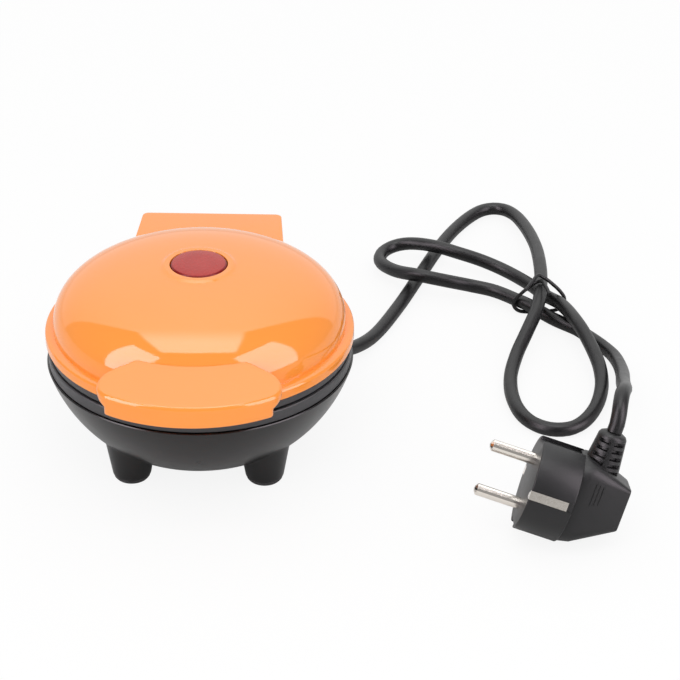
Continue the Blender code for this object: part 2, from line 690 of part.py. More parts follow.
def tube_mesh(name, points, radius, resolution=CORD_SIDES_RESOLUTION):
    """A round tube with closed ends through a row of points."""
    curve = bpy.data.curves.new(name, "CURVE")
    curve.dimensions = "3D"
    curve.bevel_depth = radius
    curve.bevel_resolution = resolution
    curve.use_fill_caps = True
    spline = curve.splines.new("POLY")
    spline.points.add(len(points) - 1)
    for point, place in zip(spline.points, points):
        point.co = (*place, 1)
    return welded_mesh(name, curve)


def offset_profile(profile, distance):
    """Move a profile's points along their normals, towards the axis for a profile that runs down."""
    moved = []
    for i, (radius, height) in enumerate(profile):
        before = Vector(profile[max(i - 1, 0)])
        after = Vector(profile[min(i + 1, len(profile) - 1)])
        along = (after - before).normalized()
        moved.append((radius + along.y * distance, height - along.x * distance))
    return moved


def post_places():
    """The four screw places between the cups."""
    return [(x * POST_CIRCLE, y * POST_CIRCLE) for x, y, _ in QUARTERS]


def cup_places():
    """The centres of the four cups."""
    return [(x * CUP_SPACING, y * CUP_SPACING) for x, y, _ in CORNERS]


def leg_places():
    """The centres of the four feet."""
    return [(x * LEG_SPACING, y * LEG_SPACING) for x, y, _ in CORNERS]


# Base

def bowl_curve():
    """The bowl's side from its rim to its floor, one smooth curve."""
    rim = Vector((RIM_RADIUS, RIM_HEIGHT - RIM_CHAMFER, 0))
    rim_handle = rim + Vector((-BOWL_SIDE_LEAN_SHARE * BOWL_SIDE_PULL, -BOWL_SIDE_PULL, 0))
    floor = Vector((FLOOR_RADIUS, FLOOR_HEIGHT, 0))
    floor_handle = floor + Vector((BOWL_FLOOR_PULL, 0, 0))
    points = interpolate_bezier(rim, rim_handle, floor_handle, floor, BOWL_CURVE_POINTS)
    return [(point.x, point.y) for point in points]


def bowl_solid_profile():
    """The bowl as a solid, from the middle of its top to the middle of its floor."""
    return ([(0, RIM_HEIGHT), (RIM_RADIUS - RIM_CHAMFER, RIM_HEIGHT)] + bowl_curve() + [(0, FLOOR_HEIGHT)])


def bowl_cavity_profile():
    """The bowl's inside, open past its rim."""
    side = offset_profile(bowl_curve(), BASE_WALL)
    top = HOUSING_TOP + OVERRUN
    mouth = side[0][0]
    return [(0, top), (mouth, top)] + side + [(0, FLOOR_HEIGHT + BASE_WALL)]


def housing_outline(inset, top):
    """The hinge housing seen from the side, as (y, z) points."""
    front = HOUSING_FRONT
    back = HOUSING_BACK - inset
    bottom = HOUSING_BOTTOM + inset
    return [(front, bottom + HOUSING_TOE_HEIGHT), (front + HOUSING_TOE_LENGTH, bottom),
            (back - HOUSING_BACK_DRAFT - HOUSING_CORNER, bottom),
            (back - HOUSING_BACK_DRAFT, bottom + HOUSING_CORNER), (back, top), (front, top)]


def knuckle_outline():
    """A base knuckle seen from the side: a post with a round top."""
    top = arc((HINGE_Y, HINGE_Z), KNUCKLE_RADIUS, 0, 180, HOLE_STEPS)
    foot = HOUSING_TOP - OVERRUN
    return top + [(HINGE_Y - KNUCKLE_RADIUS, foot), (HOUSING_BACK - OVERRUN, foot)]


def base_housing_tool():
    """The outer form of the housing, with softened corners and a seat for the ring."""
    half = HOUSING_HALF_WIDTH
    housing = add_tool("housing_form", side_slab(housing_outline(0, HOUSING_TOP), -half, half, "housing_form"),
                       "base")
    soften = housing.modifiers.new("soften", "BEVEL")
    soften.width = HOUSING_CORNER / 2
    soften.segments = 2
    soften.limit_method = "ANGLE"
    soften.angle_limit = math.radians(60)
    seat = RING_RADIUS + GAP
    high = HOUSING_TOP + OVERRUN
    low = RIM_HEIGHT - RING_SEAT_DEPTH
    cut(housing, shell_tool("ring_seat", [(0, high), (seat, high), (seat, low), (0, low)], "base"))
    return housing


def make_base_shell():
    """Bowl, feet, hinge housing, knuckles and screw bosses, moulded as one piece."""
    shell = turned_part("base_shell", bowl_solid_profile(), "base", "black_gloss", SHELL_STEPS)
    legs = add_tool("leg_forms", pegs_mesh("leg_forms", leg_places(), LEG_FOOT_RADIUS, LEG_TOP_RADIUS, LEG_BOTTOM,
                                           LEG_TOP_HEIGHT, CUP_STEPS), "base")
    join(shell, legs, base_housing_tool())
    cavity = shell_tool("bowl_cavity", bowl_cavity_profile(), "base")
    inner = HOUSING_HALF_WIDTH - BASE_WALL
    room = add_tool("housing_room", side_slab(housing_outline(BASE_WALL, HOUSING_CEILING), -inner, inner,
                                              "housing_room"), "base")
    join(cavity, room)
    cut(shell, cavity)
    bosses = add_tool("base_bosses", pegs_mesh("base_bosses", post_places(), BASE_BOSS_RADIUS, BASE_BOSS_RADIUS,
                                               FLOOR_HEIGHT + BASE_WALL / 2, POST_END - GAP, HOLE_STEPS), "base")
    join(shell, bosses, solver="MANIFOLD")
    knuckle = side_slab(knuckle_outline(), KNUCKLE_INNER_X, KNUCKLE_OUTER_X, "knuckle_forms")
    join(shell, mirrored(add_tool("knuckle_forms", knuckle, "base")))
    holes = add_tool("base_screw_holes", pegs_mesh("base_screw_holes", post_places(), SCREW_HOLE_RADIUS,
                                                   SCREW_HOLE_RADIUS, FLOOR_HEIGHT - OVERRUN, POST_END + OVERRUN,
                                                   HOLE_STEPS), "base")
    recesses = add_tool("base_recesses", pegs_mesh("base_recesses", post_places(), SCREW_RECESS_RADIUS,
                                                   SCREW_RECESS_RADIUS, FLOOR_HEIGHT - OVERRUN,
                                                   FLOOR_HEIGHT + BASE_RECESS_DEPTH, HOLE_STEPS), "base")
    sockets = add_tool("pad_sockets", pegs_mesh("pad_sockets", leg_places(), PAD_STEM_RADIUS + GAP,
                                                PAD_STEM_RADIUS + GAP, LEG_BOTTOM - OVERRUN,
                                                PAD_HEIGHT + PAD_STEM_HEIGHT + GAP, HOLE_STEPS), "base")
    pivot = add_tool("base_pivot_hole", rods_mesh("base_pivot_hole", [(0, HINGE_Y, HINGE_Z)], PIN_RADIUS + GAP,
                                                  2 * EAR_INNER_X, "X", HOLE_STEPS), "base")
    gland_x = HOUSING_HALF_WIDTH - BASE_WALL / 2
    gland = add_tool("gland_hole", rods_mesh("gland_hole", [(gland_x, GLAND_Y, GLAND_Z)], GLAND_NECK_RADIUS + GAP,
                                             BASE_WALL + OVERRUN, "X", HOLE_STEPS), "base")
    lead = add_tool("lead_hole", pegs_mesh("lead_hole", [(BASE_LEAD_X, HINGE_Y)], LEAD_HOLE_RADIUS,
                                           LEAD_HOLE_RADIUS, HOUSING_CEILING - OVERRUN, HOUSING_TOP + OVERRUN,
                                           HOLE_STEPS), "base")
    cut(shell, holes, recesses, sockets, pivot, gland, lead, solver="MANIFOLD")


def make_foot_pads():
    """Four rubber pads, each with a stem that plugs into its foot."""
    top = PAD_HEIGHT + PAD_STEM_HEIGHT
    profile = [(0, top), (PAD_STEM_RADIUS, top), (PAD_STEM_RADIUS, PAD_HEIGHT), (PAD_RADIUS, PAD_HEIGHT),
               (PAD_RADIUS, 0), (0, 0)]
    for x, y, label in CORNERS:
        place = (x * LEG_SPACING, y * LEG_SPACING, 0)
        turned_part("foot_pad_" + label, profile, "base", "rubber", CUP_STEPS, place=place)


def make_base_ring():
    """The dark band above the rim, whose inner ledge carries the lower plate."""
    bottom = RIM_HEIGHT + GAP
    ledge = LOWER_BACK - GAP
    profile = [(RING_RADIUS, RING_TOP), (RING_RADIUS, bottom), (RING_LEDGE_RADIUS, bottom),
               (RING_LEDGE_RADIUS, ledge), (RING_INNER_RADIUS, ledge), (RING_INNER_RADIUS, RING_TOP)]
    turned_part("base_ring", profile, "base", "dark_grey", SHELL_STEPS, closed=True)


def cup_profile(grow):
    """One cup, or its outside when it grows by the wall, from the middle of its mouth to that of its floor."""
    mouth = LOWER_FACE + (0 if grow else OVERRUN) - (PLATE_THICKNESS / 2 if grow else 0)
    floor = LOWER_FACE - CUP_DEPTH - grow
    widen = CUP_RADIUS - CUP_BOTTOM_RADIUS
    top_radius = CUP_RADIUS + grow + widen * (mouth - LOWER_FACE) / CUP_DEPTH
    return [(0, mouth), (top_radius, mouth), (CUP_BOTTOM_RADIUS + grow + CUP_CORNER * widen / CUP_DEPTH,
            floor + CUP_CORNER), (CUP_BOTTOM_RADIUS + grow - CUP_CORNER, floor), (0, floor)]


def make_lower_plate():
    """The cast plate with four tapered cups and four screw posts."""
    profile = [(0, LOWER_FACE), (PLATE_RADIUS, LOWER_FACE), (PLATE_RADIUS, LOWER_BACK), (0, LOWER_BACK)]
    plate = turned_part("lower_plate", profile, "base", "nonstick", PLATE_STEPS)
    first = (-CUP_SPACING, -CUP_SPACING, 0)
    join(plate, four_ways(turned_tool("cup_outsides", cup_profile(CUP_WALL), "base", CUP_STEPS, place=first)))
    posts = pegs_mesh("lower_posts", post_places(), POST_RADIUS, POST_RADIUS, POST_END,
                      LOWER_BACK + PLATE_THICKNESS / 2, HOLE_STEPS)
    join(plate, add_tool("lower_posts", posts, "base"))
    cut(plate, four_ways(turned_tool("cup_insides", cup_profile(0), "base", CUP_STEPS, place=first)))
    holes = pegs_mesh("lower_post_holes", post_places(), SCREW_HOLE_RADIUS, SCREW_HOLE_RADIUS, POST_END - OVERRUN,
                      POST_END + BASE_SCREW_REACH + GAP, HOLE_STEPS)
    cut(plate, add_tool("lower_post_holes", holes, "base"))


def screw_profile(length, shank, head, head_height):
    """A screw that points up: its tip at the top, its head's face at zero."""
    return [(0, length), (shank * 2 / 3, length), (shank, length - shank), (shank, head_height),
            (head, head_height), (head, head_height / 3), (head - head_height / 3, 0), (0, 0)]


def make_base_screws():
    """Four screws that go up through the base's bosses into the lower plate's posts."""
    head = FLOOR_HEIGHT + BASE_RECESS_DEPTH - GAP - SCREW_HEAD_HEIGHT
    length = POST_END + BASE_SCREW_REACH - head
    profile = screw_profile(length, SCREW_SHANK_RADIUS, SCREW_HEAD_RADIUS, SCREW_HEAD_HEIGHT)
    for x, y, label in QUARTERS:
        place = (x * POST_CIRCLE, y * POST_CIRCLE, head)
        turned_part("base_screw_" + label, profile, "base", "steel", SCREW_STEPS, place=place)


def heater_points(circle, height, rise):
    """A ring that is open at the back, with its two ends turned up or down."""
    first = 90 + HEATER_GAP_DEG
    ring = [(x, y, height) for x, y in arc((0, 0), circle, first, first + 360 - 2 * HEATER_GAP_DEG, HEATER_POINTS)]
    lift = HEATER_TUBE_RADIUS * math.copysign(1, rise)
    start = [(*ring[0][:2], height + rise), (*ring[0][:2], height + lift)]
    end = [(*ring[-1][:2], height + lift), (*ring[-1][:2], height + rise)]
    return start + ring[1:-1] + end


def make_heater(name, circle, height, rise, body):
    """A tubular heating element bent to a ring."""
    add_part(name, tube_mesh(name, heater_points(circle, height, rise), HEATER_TUBE_RADIUS), body, "steel")


def make_thermostat():
    """A disc thermostat under the middle of the lower plate, with two blades."""
    top = LOWER_BACK - GAP
    low = top - THERMOSTAT_HEIGHT
    step = top - THERMOSTAT_FLANGE_HEIGHT
    profile = [(0, top), (THERMOSTAT_RADIUS, top), (THERMOSTAT_RADIUS, step), (THERMOSTAT_BODY_RADIUS, step),
               (THERMOSTAT_BODY_RADIUS, low), (0, low)]
    disc = turned_part("lower_thermostat", profile, "base", "steel", CUP_STEPS)
    for side, label in SIDES:
        x = side * BLADE_SPACING
        corner = (x - BLADE_THICKNESS / 2, -BLADE_WIDTH / 2, low - BLADE_LENGTH)
        other = (x + BLADE_THICKNESS / 2, BLADE_WIDTH / 2, low + OVERRUN)
        join(disc, add_tool("blade_" + label, block_mesh("blade_" + label, corner, other), "base"))


def make_thermal_fuse():
    """A fuse in a ceramic tube, against the underside of the lower plate."""
    height = LOWER_BACK - GAP - FUSE_RADIUS
    half = FUSE_LENGTH / 2
    tip = half + FUSE_END_LENGTH
    profile = [(0, tip), (FUSE_END_RADIUS, tip), (FUSE_END_RADIUS, half), (FUSE_RADIUS, half), (FUSE_RADIUS, -half),
               (FUSE_END_RADIUS, -half), (FUSE_END_RADIUS, -tip), (0, -tip)]
    turned_part("thermal_fuse", profile, "base", "white_ceramic", HOLE_STEPS, place=(0, FUSE_Y, height),
                turn=(0, math.pi / 2, 0))


def make_terminal_block():
    """A block of three poles on the housing's floor."""
    low = (TERMINAL_LEFT, TERMINAL_Y - TERMINAL_DEPTH / 2, HOUSING_FLOOR + GAP)
    high = (low[0] + TERMINAL_LENGTH, low[1] + TERMINAL_DEPTH, low[2] + TERMINAL_HEIGHT)
    block = add_part("terminal_block", block_mesh("terminal_block", low, high), "base", "white_plastic")
    pitch = TERMINAL_LENGTH / TERMINAL_POLES
    height = low[2] + TERMINAL_HEIGHT / 3
    centres = [(low[0] + pitch * (i + 1 / 2), TERMINAL_Y, height) for i in range(TERMINAL_POLES)]
    bores = rods_mesh("terminal_bores", centres, TERMINAL_HOLE_RADIUS, TERMINAL_DEPTH + OVERRUN, "Y", HOLE_STEPS)
    cut(block, add_tool("terminal_bores", bores, "base"))
    wells = [(x, y) for x, y, _ in centres]
    top = low[2] + TERMINAL_HEIGHT
    screws = pegs_mesh("terminal_wells", wells, TERMINAL_HOLE_RADIUS, TERMINAL_HOLE_RADIUS, top - TERMINAL_HEIGHT / 3,
                       top + OVERRUN, HOLE_STEPS)
    cut(block, add_tool("terminal_wells", screws, "base"))


# Strain relief and clamp

def gland_profile():
    """The strain relief's half section: ribbed taper, collar, neck in the wall, inner collar, stub."""
    wall = GLAND_COLLAR_THICKNESS + GAP * 2 + BASE_WALL
    tip = GLAND_COLLAR_THICKNESS + GLAND_LENGTH
    pitch = GLAND_LENGTH / (2 * GLAND_GROOVES + 2)
    points = [(0, tip)]
    for i in range(2 * GLAND_GROOVES + 1):
        low = tip - pitch * (i + 1)
        share = (i + 1) / (2 * GLAND_GROOVES + 2)
        radius = GLAND_END_RADIUS + (GLAND_START_RADIUS - GLAND_END_RADIUS) * share
        if i % 2:
            radius -= GLAND_GROOVE_DEPTH
        points += [(radius, low + pitch), (radius, low)]
    points += [(GLAND_START_RADIUS, pitch + GLAND_COLLAR_THICKNESS), (GLAND_START_RADIUS, GLAND_COLLAR_THICKNESS),
               (GLAND_COLLAR_RADIUS, GLAND_COLLAR_THICKNESS), (GLAND_COLLAR_RADIUS, 0), (GLAND_NECK_RADIUS, 0)]
    inner = GLAND_COLLAR_THICKNESS - wall
    points += [(GLAND_NECK_RADIUS, inner), (GLAND_COLLAR_RADIUS, inner),
               (GLAND_COLLAR_RADIUS, inner - GLAND_COLLAR_THICKNESS), (CORD_RADIUS, inner - GLAND_COLLAR_THICKNESS),
               (CORD_RADIUS, inner - GLAND_COLLAR_THICKNESS - GLAND_STUB),
               (0, inner - GLAND_COLLAR_THICKNESS - GLAND_STUB)]
    return points


def make_cord_gland():
    """The ribbed strain relief through the housing's right wall."""
    turned_part("cord_gland", gland_profile(), "base", "cord_black", HOLE_STEPS,
                place=(GLAND_OUTER_X, GLAND_Y, GLAND_Z), turn=(0, math.pi / 2, 0))


def make_cord_clamp():
    """A saddle over the cord's stub, with its feet on the housing's floor."""
    right = CLAMP_LEFT + CLAMP_LENGTH
    low = (CLAMP_LEFT, GLAND_Y - CLAMP_HALF_WIDTH, HOUSING_FLOOR + GAP)
    high = (right, GLAND_Y + CLAMP_HALF_WIDTH, GLAND_Z + CORD_RADIUS + GAP + CLAMP_THICKNESS)
    clamp = add_part("cord_clamp", block_mesh("cord_clamp", low, high), "base", "white_plastic")
    bore = CORD_RADIUS + GAP
    middle = ((CLAMP_LEFT + right) / 2, GLAND_Y, GLAND_Z)
    saddle = rods_mesh("saddle_bore", [middle], bore, CLAMP_LENGTH + OVERRUN, "X", HOLE_STEPS * 2)
    slot = block_mesh("saddle_slot", (CLAMP_LEFT - OVERRUN, GLAND_Y - bore, HOUSING_FLOOR - OVERRUN),
                      (right + OVERRUN, GLAND_Y + bore, GLAND_Z))
    cut(clamp, add_tool("saddle_slot", slot, "base"), add_tool("saddle_bore", saddle, "base"))


# Lid

def dome_height(radius):
    """Height of the dome's outer face at a radius."""
    share = min(radius / DOME_RADIUS, 1)
    return DOME_EAVES + DOME_RISE * (1 - share ** DOME_POWER) ** (1 / DOME_POWER)


def dome_curve(start_radius):
    """The dome's outer face from a radius near its top down to its eaves, evenly spread along its bend."""
    points = []
    for i in range(DOME_ANGLES + 1):
        angle = math.pi / 2 * i / DOME_ANGLES
        radius = DOME_RADIUS * math.sin(angle) ** (2 / DOME_POWER)
        height = DOME_EAVES + DOME_RISE * math.cos(angle) ** (2 / DOME_POWER) if i < DOME_ANGLES else DOME_EAVES
        if radius > start_radius:
            points.append((radius, height))
    return points


def flange_curve(grow):
    """The ledge, the rounded corner and the side of the flange, grown outwards by a clearance."""
    return [(FLANGE_RADIUS + grow - FLANGE_ROUND, FLANGE_TOP + grow),
            (FLANGE_RADIUS + grow, FLANGE_TOP + grow - FLANGE_ROUND)]


def collar_height():
    """Top of the raised collar round the lens."""
    return dome_height(COLLAR_TOP_RADIUS) + COLLAR_HEIGHT


def lamp_seat_bottom():
    """Lower end of the seat that guides the lamp's holder."""
    return dome_height(LAMP_SEAT_RADIUS) - LAMP_SEAT_DEPTH


def lid_solid_profile():
    """The lid's outside as a solid, from the middle of its top down to its flange."""
    top = collar_height()
    return ([(0, top), (COLLAR_TOP_RADIUS, top)] + dome_curve(COLLAR_RADIUS) + [(DOME_RADIUS, FLANGE_TOP + LEDGE_RISE)]
            + flange_curve(0) + [(FLANGE_RADIUS, FLANGE_BOTTOM), (0, FLANGE_BOTTOM)])


def lid_clearance_profile():
    """The lid's outside grown by the gap, which its handle and hinge cover fit round."""
    dome = offset_profile([(COLLAR_RADIUS, dome_height(COLLAR_RADIUS))] + dome_curve(COLLAR_RADIUS), -GAP)
    dome[-1] = (DOME_RADIUS + GAP, DOME_EAVES)
    return ([(0, dome[0][1]), dome[0]] + dome[1:] + [(DOME_RADIUS + GAP, FLANGE_TOP + LEDGE_RISE + GAP)]
            + flange_curve(GAP) + [(FLANGE_RADIUS + GAP, FLANGE_BOTTOM - OVERRUN), (0, FLANGE_BOTTOM - OVERRUN)])


def lid_cavity_profile():
    """The lid's inside, open past the bottom of its flange."""
    dome = [(COLLAR_RADIUS, dome_height(COLLAR_RADIUS))] + dome_curve(COLLAR_RADIUS)
    inner = offset_profile(dome, LID_WALL)
    ledge = FLANGE_TOP - LID_WALL + LEDGE_RISE
    wall = DOME_RADIUS - LID_WALL
    inner[-1] = (wall, DOME_EAVES)
    mouth = FLANGE_RADIUS - LID_WALL
    bottom = FLANGE_BOTTOM - OVERRUN
    return [(0, inner[0][1])] + inner + [(wall, ledge), (mouth, ledge), (mouth, bottom), (0, bottom)]


def arm_outline():
    """A hinge arm seen from the side: level with the flange, ending in a round ear."""
    ear = arc((HINGE_Y, HINGE_Z), KNUCKLE_RADIUS, 80, -190, HOLE_STEPS + 6)
    return [(ARM_FRONT, ARM_TOP)] + ear + [(HINGE_Y - KNUCKLE_RADIUS - OVERRUN, FLANGE_BOTTOM + GAP),
                                           (ARM_FRONT, FLANGE_BOTTOM + GAP)]


def make_lid_shell():
    """The domed lid with its flange, hinge arms, inner bosses and lamp seat."""
    shell = turned_part("lid_shell", lid_solid_profile(), "lid", "orange_gloss", SHELL_STEPS)
    arm = side_slab(arm_outline(), EAR_INNER_X, EAR_OUTER_X, "arm_forms")
    join(shell, mirrored(add_tool("arm_forms", arm, "lid")))
    cut(shell, shell_tool("lid_cavity", lid_cavity_profile(), "lid"))
    boss_top = dome_height(POST_CIRCLE) - LID_WALL / 2
    bosses = pegs_mesh("lid_bosses", post_places(), LID_BOSS_RADIUS, LID_BOSS_RADIUS, UPPER_BACK + GAP, boss_top,
                       HOLE_STEPS)
    join(shell, add_tool("lid_bosses", bosses, "lid"))
    seat_top = dome_height(LAMP_SEAT_RADIUS) - LID_WALL / 2
    seat_inner = LAMP_SEAT_RADIUS - LAMP_SEAT_WALL
    seat = [(LAMP_SEAT_RADIUS, seat_top), (LAMP_SEAT_RADIUS, lamp_seat_bottom()), (seat_inner, lamp_seat_bottom()),
            (seat_inner, seat_top)]
    join(shell, turned_tool("lamp_seat", seat, "lid", LENS_STEPS, closed=True))
    lens_hole = pegs_mesh("lens_hole", [(0, 0)], LENS_HOLE_RADIUS, LENS_HOLE_RADIUS, lamp_seat_bottom(),
                          collar_height() + OVERRUN, LENS_STEPS)
    screw_low = UPPER_BACK - OVERRUN
    screw_high = UPPER_BACK + PLATE_SCREW_REACH + GAP
    screws = pegs_mesh("lid_screw_holes", post_places(), SCREW_HOLE_RADIUS, SCREW_HOLE_RADIUS, screw_low, screw_high,
                       HOLE_STEPS)
    pivot = rods_mesh("lid_pivot_hole", [(0, HINGE_Y, HINGE_Z)], PIN_RADIUS + GAP, 2 * EAR_OUTER_X + OVERRUN, "X",
                      HOLE_STEPS)
    lead = rods_mesh("lid_lead_hole", [(LID_LEAD_X, DOME_RADIUS, LID_LEAD_HEIGHT)], LEAD_HOLE_RADIUS,
                     (FLANGE_RADIUS - LID_LEAD_END) * 2, "Y", HOLE_STEPS)
    cut(shell, add_tool("lens_hole", lens_hole, "lid"), add_tool("lid_screw_holes", screws, "lid"),
        add_tool("lid_pivot_hole", pivot, "lid"), add_tool("lid_lead_hole", lead, "lid"))
    cut(shell, handle_screw_holes(), cover_screw_holes())


def handle_wall_y(height=HANDLE_BOSS_Z):
    """Distance from the axis to the lid's outer wall beside the handle's screws, at a height."""
    rise = min((height - DOME_EAVES) / DOME_RISE, 1)
    radius = DOME_RADIUS * (1 - rise ** DOME_POWER) ** (1 / DOME_POWER)
    return math.sqrt(radius ** 2 - HANDLE_BOSS_X ** 2)


def handle_screw_holes():
    """Holes through the lid's front wall for the handle's screws."""
    centres = [(side * HANDLE_BOSS_X, -handle_wall_y(), HANDLE_BOSS_Z) for side, _ in SIDES]
    holes = rods_mesh("handle_screw_holes", centres, SMALL_SCREW_HOLE_RADIUS, LID_WALL * 4, "Y", HOLE_STEPS)
    return add_tool("handle_screw_holes", holes, "lid")


def cover_screw_holes():
    """Holes up through the hinge arms for the cover's screws."""
    places = [(side * EAR_MIDDLE_X, COVER_BOSS_Y) for side, _ in SIDES]
    holes = pegs_mesh("cover_screw_holes", places, SMALL_SCREW_HOLE_RADIUS, SMALL_SCREW_HOLE_RADIUS,
                      FLANGE_BOTTOM - OVERRUN, ARM_TOP + OVERRUN, HOLE_STEPS)
    return add_tool("cover_screw_holes", holes, "lid")


def make_lid_ring():
    """The dark ring inside the flange, whose lip holds the upper plate's edge."""
    joint = FLANGE_BOTTOM - GAP
    lip = UPPER_BACK + GAP
    profile = [(LID_RING_RADIUS, joint), (LID_RING_RADIUS, UPPER_FACE + GAP), (LID_RING_INNER_RADIUS, UPPER_FACE + GAP),
               (LID_RING_INNER_RADIUS, lip), (LID_RING_LIP_RADIUS, lip), (LID_RING_LIP_RADIUS, lip + LID_RING_LIP_RISE),
               (LID_RING_INNER_RADIUS, lip + LID_RING_LIP_RISE), (LID_RING_INNER_RADIUS, joint)]
    turned_part("lid_ring", profile, "lid", "dark_grey", SHELL_STEPS, closed=True)


def dome_cap_profile(grow, below):
    """A shallow dome over a cup, or its outside when it grows by the wall, as (radius, height) points."""
    rise = DOME_DEPTH + grow
    radius = CUP_RADIUS + grow
    points = [(0, UPPER_FACE + rise)]
    for i in range(1, 4):
        angle = math.pi / 2 * i / 3
        points.append((radius * math.sin(angle), UPPER_FACE + rise * math.cos(angle)))
    points[-1] = (radius, UPPER_FACE - below)
    return points + [(0, UPPER_FACE - below)]


def make_upper_plate():
    """The cast upper plate with four shallow domes that close the cups."""
    profile = [(0, UPPER_BACK), (PLATE_RADIUS, UPPER_BACK), (PLATE_RADIUS, UPPER_FACE), (0, UPPER_FACE)]
    plate = turned_part("upper_plate", profile, "lid", "nonstick", PLATE_STEPS)
    first = (-CUP_SPACING, -CUP_SPACING, 0)
    outside = dome_cap_profile(CUP_WALL, -PLATE_THICKNESS / 2)
    join(plate, four_ways(turned_tool("dome_outsides", outside, "lid", CUP_STEPS, place=first)))
    inside = dome_cap_profile(0, OVERRUN)
    cut(plate, four_ways(turned_tool("dome_insides", inside, "lid", CUP_STEPS, place=first)))
    holes = pegs_mesh("upper_plate_holes", post_places(), SCREW_HOLE_RADIUS, SCREW_HOLE_RADIUS,
                      UPPER_FACE - OVERRUN, UPPER_BACK + OVERRUN, HOLE_STEPS)
    recesses = pegs_mesh("upper_plate_recesses", post_places(), SCREW_RECESS_RADIUS, SCREW_RECESS_RADIUS,
                         UPPER_FACE - OVERRUN, UPPER_FACE + PLATE_RECESS_DEPTH, HOLE_STEPS)
    cut(plate, add_tool("upper_plate_holes", holes, "lid"), add_tool("upper_plate_recesses", recesses, "lid"),
        solver="MANIFOLD")


def make_plate_screws():
    """Four screws through the upper plate into the lid's bosses, flush with the plate's face."""
    head = UPPER_FACE + PLATE_RECESS_DEPTH - GAP - SCREW_HEAD_HEIGHT
    length = UPPER_BACK + PLATE_SCREW_REACH - head
    profile = screw_profile(length, SCREW_SHANK_RADIUS, SCREW_HEAD_RADIUS, SCREW_HEAD_HEIGHT)
    for x, y, label in QUARTERS:
        place = (x * POST_CIRCLE, y * POST_CIRCLE, head)
        turned_part("plate_screw_" + label, profile, "lid", "steel", SCREW_STEPS, place=place)


def make_heat_shield():
    """A thin dish over the upper heater, with holes that the lid's bosses pass through."""
    inner = SHIELD_RADIUS - SHIELD_THICKNESS
    low = SHIELD_BOTTOM
    high = low + SHIELD_THICKNESS
    lip = low + SHIELD_LIP
    profile = [(0, high), (inner, high), (inner, lip), (SHIELD_RADIUS, lip), (SHIELD_RADIUS, low), (0, low)]
    shield = turned_part("heat_shield", profile, "lid", "aluminium", PLATE_STEPS)
    holes = pegs_mesh("shield_holes", post_places(), LID_BOSS_RADIUS + GAP, LID_BOSS_RADIUS + GAP, low - OVERRUN,
                      high + OVERRUN, HOLE_STEPS)
    cut(shield, add_tool("shield_holes", holes, "lid"))


def lens_flange_top():
    """Where the lens's flange meets the inside of the lid."""
    return dome_height(LENS_FLANGE_RADIUS) - LID_WALL - GAP


def make_lamp():
    """The red lens, the holder behind it and the neon lamp in the holder."""
    top = collar_height() + LENS_RISE
    flange = lens_flange_top()
    under = flange - LENS_FLANGE_THICKNESS
    bore = LENS_RADIUS - LENS_WALL
    lens = [(0, top), (LENS_RADIUS * 2 / 3, top - LENS_CROWN / 3), (LENS_RADIUS - LENS_CROWN, top - LENS_CROWN),
            (LENS_RADIUS, top - 2 * LENS_CROWN), (LENS_RADIUS, flange), (LENS_FLANGE_RADIUS, flange),
            (LENS_FLANGE_RADIUS, under), (bore, under), (bore, top - 2 * LENS_WALL), (0, top - LENS_WALL - LENS_CROWN)]
    turned_part("lamp_lens", lens, "lid", "red_lens", LENS_STEPS)
    seat = under - GAP
    low = seat - HOLDER_FLANGE_THICKNESS
    end = low - HOLDER_LENGTH
    hole = NEON_RADIUS + GAP
    floor = end + HOLDER_FLOOR
    outer = hole + HOLDER_WALL
    holder = [(0, floor), (hole, floor), (hole, seat), (LENS_FLANGE_RADIUS, seat), (LENS_FLANGE_RADIUS, low),
              (outer, low), (outer, end), (0, end)]
    turned_part("lamp_holder", holder, "lid", "white_plastic", CUP_STEPS)
    neon_low = floor + GAP
    tip = neon_low + NEON_LENGTH
    neon = [(0, tip), (NEON_RADIUS / 2, tip - NEON_TIP / 3), (NEON_RADIUS, tip - NEON_TIP), (NEON_RADIUS, neon_low),
            (0, neon_low)]
    turned_part("neon_lamp", neon, "lid", "lamp_glass", HOLE_STEPS)


# Handle

def handle_outline(inset=0):
    """The handle's bean outline, concentric round ends between a front arc and the dome."""
    centre_y = HANDLE_FRONT_ARC - HANDLE_FRONT
    end_round, horn_round = HANDLE_END_RADIUS - inset, HANDLE_HORN_ROUND - inset / 2
    end_x = HANDLE_HALF_WIDTH - HANDLE_END_RADIUS
    end_y = centre_y - math.sqrt((HANDLE_FRONT_ARC - HANDLE_END_RADIUS) ** 2 - end_x ** 2)
    tangent = math.degrees(math.atan2(end_y - centre_y, end_x))
    front = arc((0, centre_y), HANDLE_FRONT_ARC - inset, -180 - tangent, tangent, 16)
    horn_y = -math.sqrt(HANDLE_INNER_RADIUS ** 2 - HANDLE_HORN_X ** 2)
    away = Vector((HANDLE_HORN_X - end_x, horn_y - HANDLE_HORN_ROUND - end_y))
    lean = math.acos((end_round - horn_round) / away.length)
    leaves = math.degrees(math.atan2(away.y, away.x) - lean)
    right = arc((end_x, end_y), end_round, tangent, leaves, 8)[1:]
    horn = arc((HANDLE_HORN_X, horn_y - HANDLE_HORN_ROUND), horn_round, leaves, 110, 3)
    start = math.degrees(math.atan2(horn_y, HANDLE_HORN_X - HANDLE_HORN_ROUND))
    inner = arc((0, 0), HANDLE_INNER_RADIUS + inset, start, -180 - start, 12)
    left = [(-x, y) for x, y in reversed(right + horn)]
    return front + right + horn + inner + left


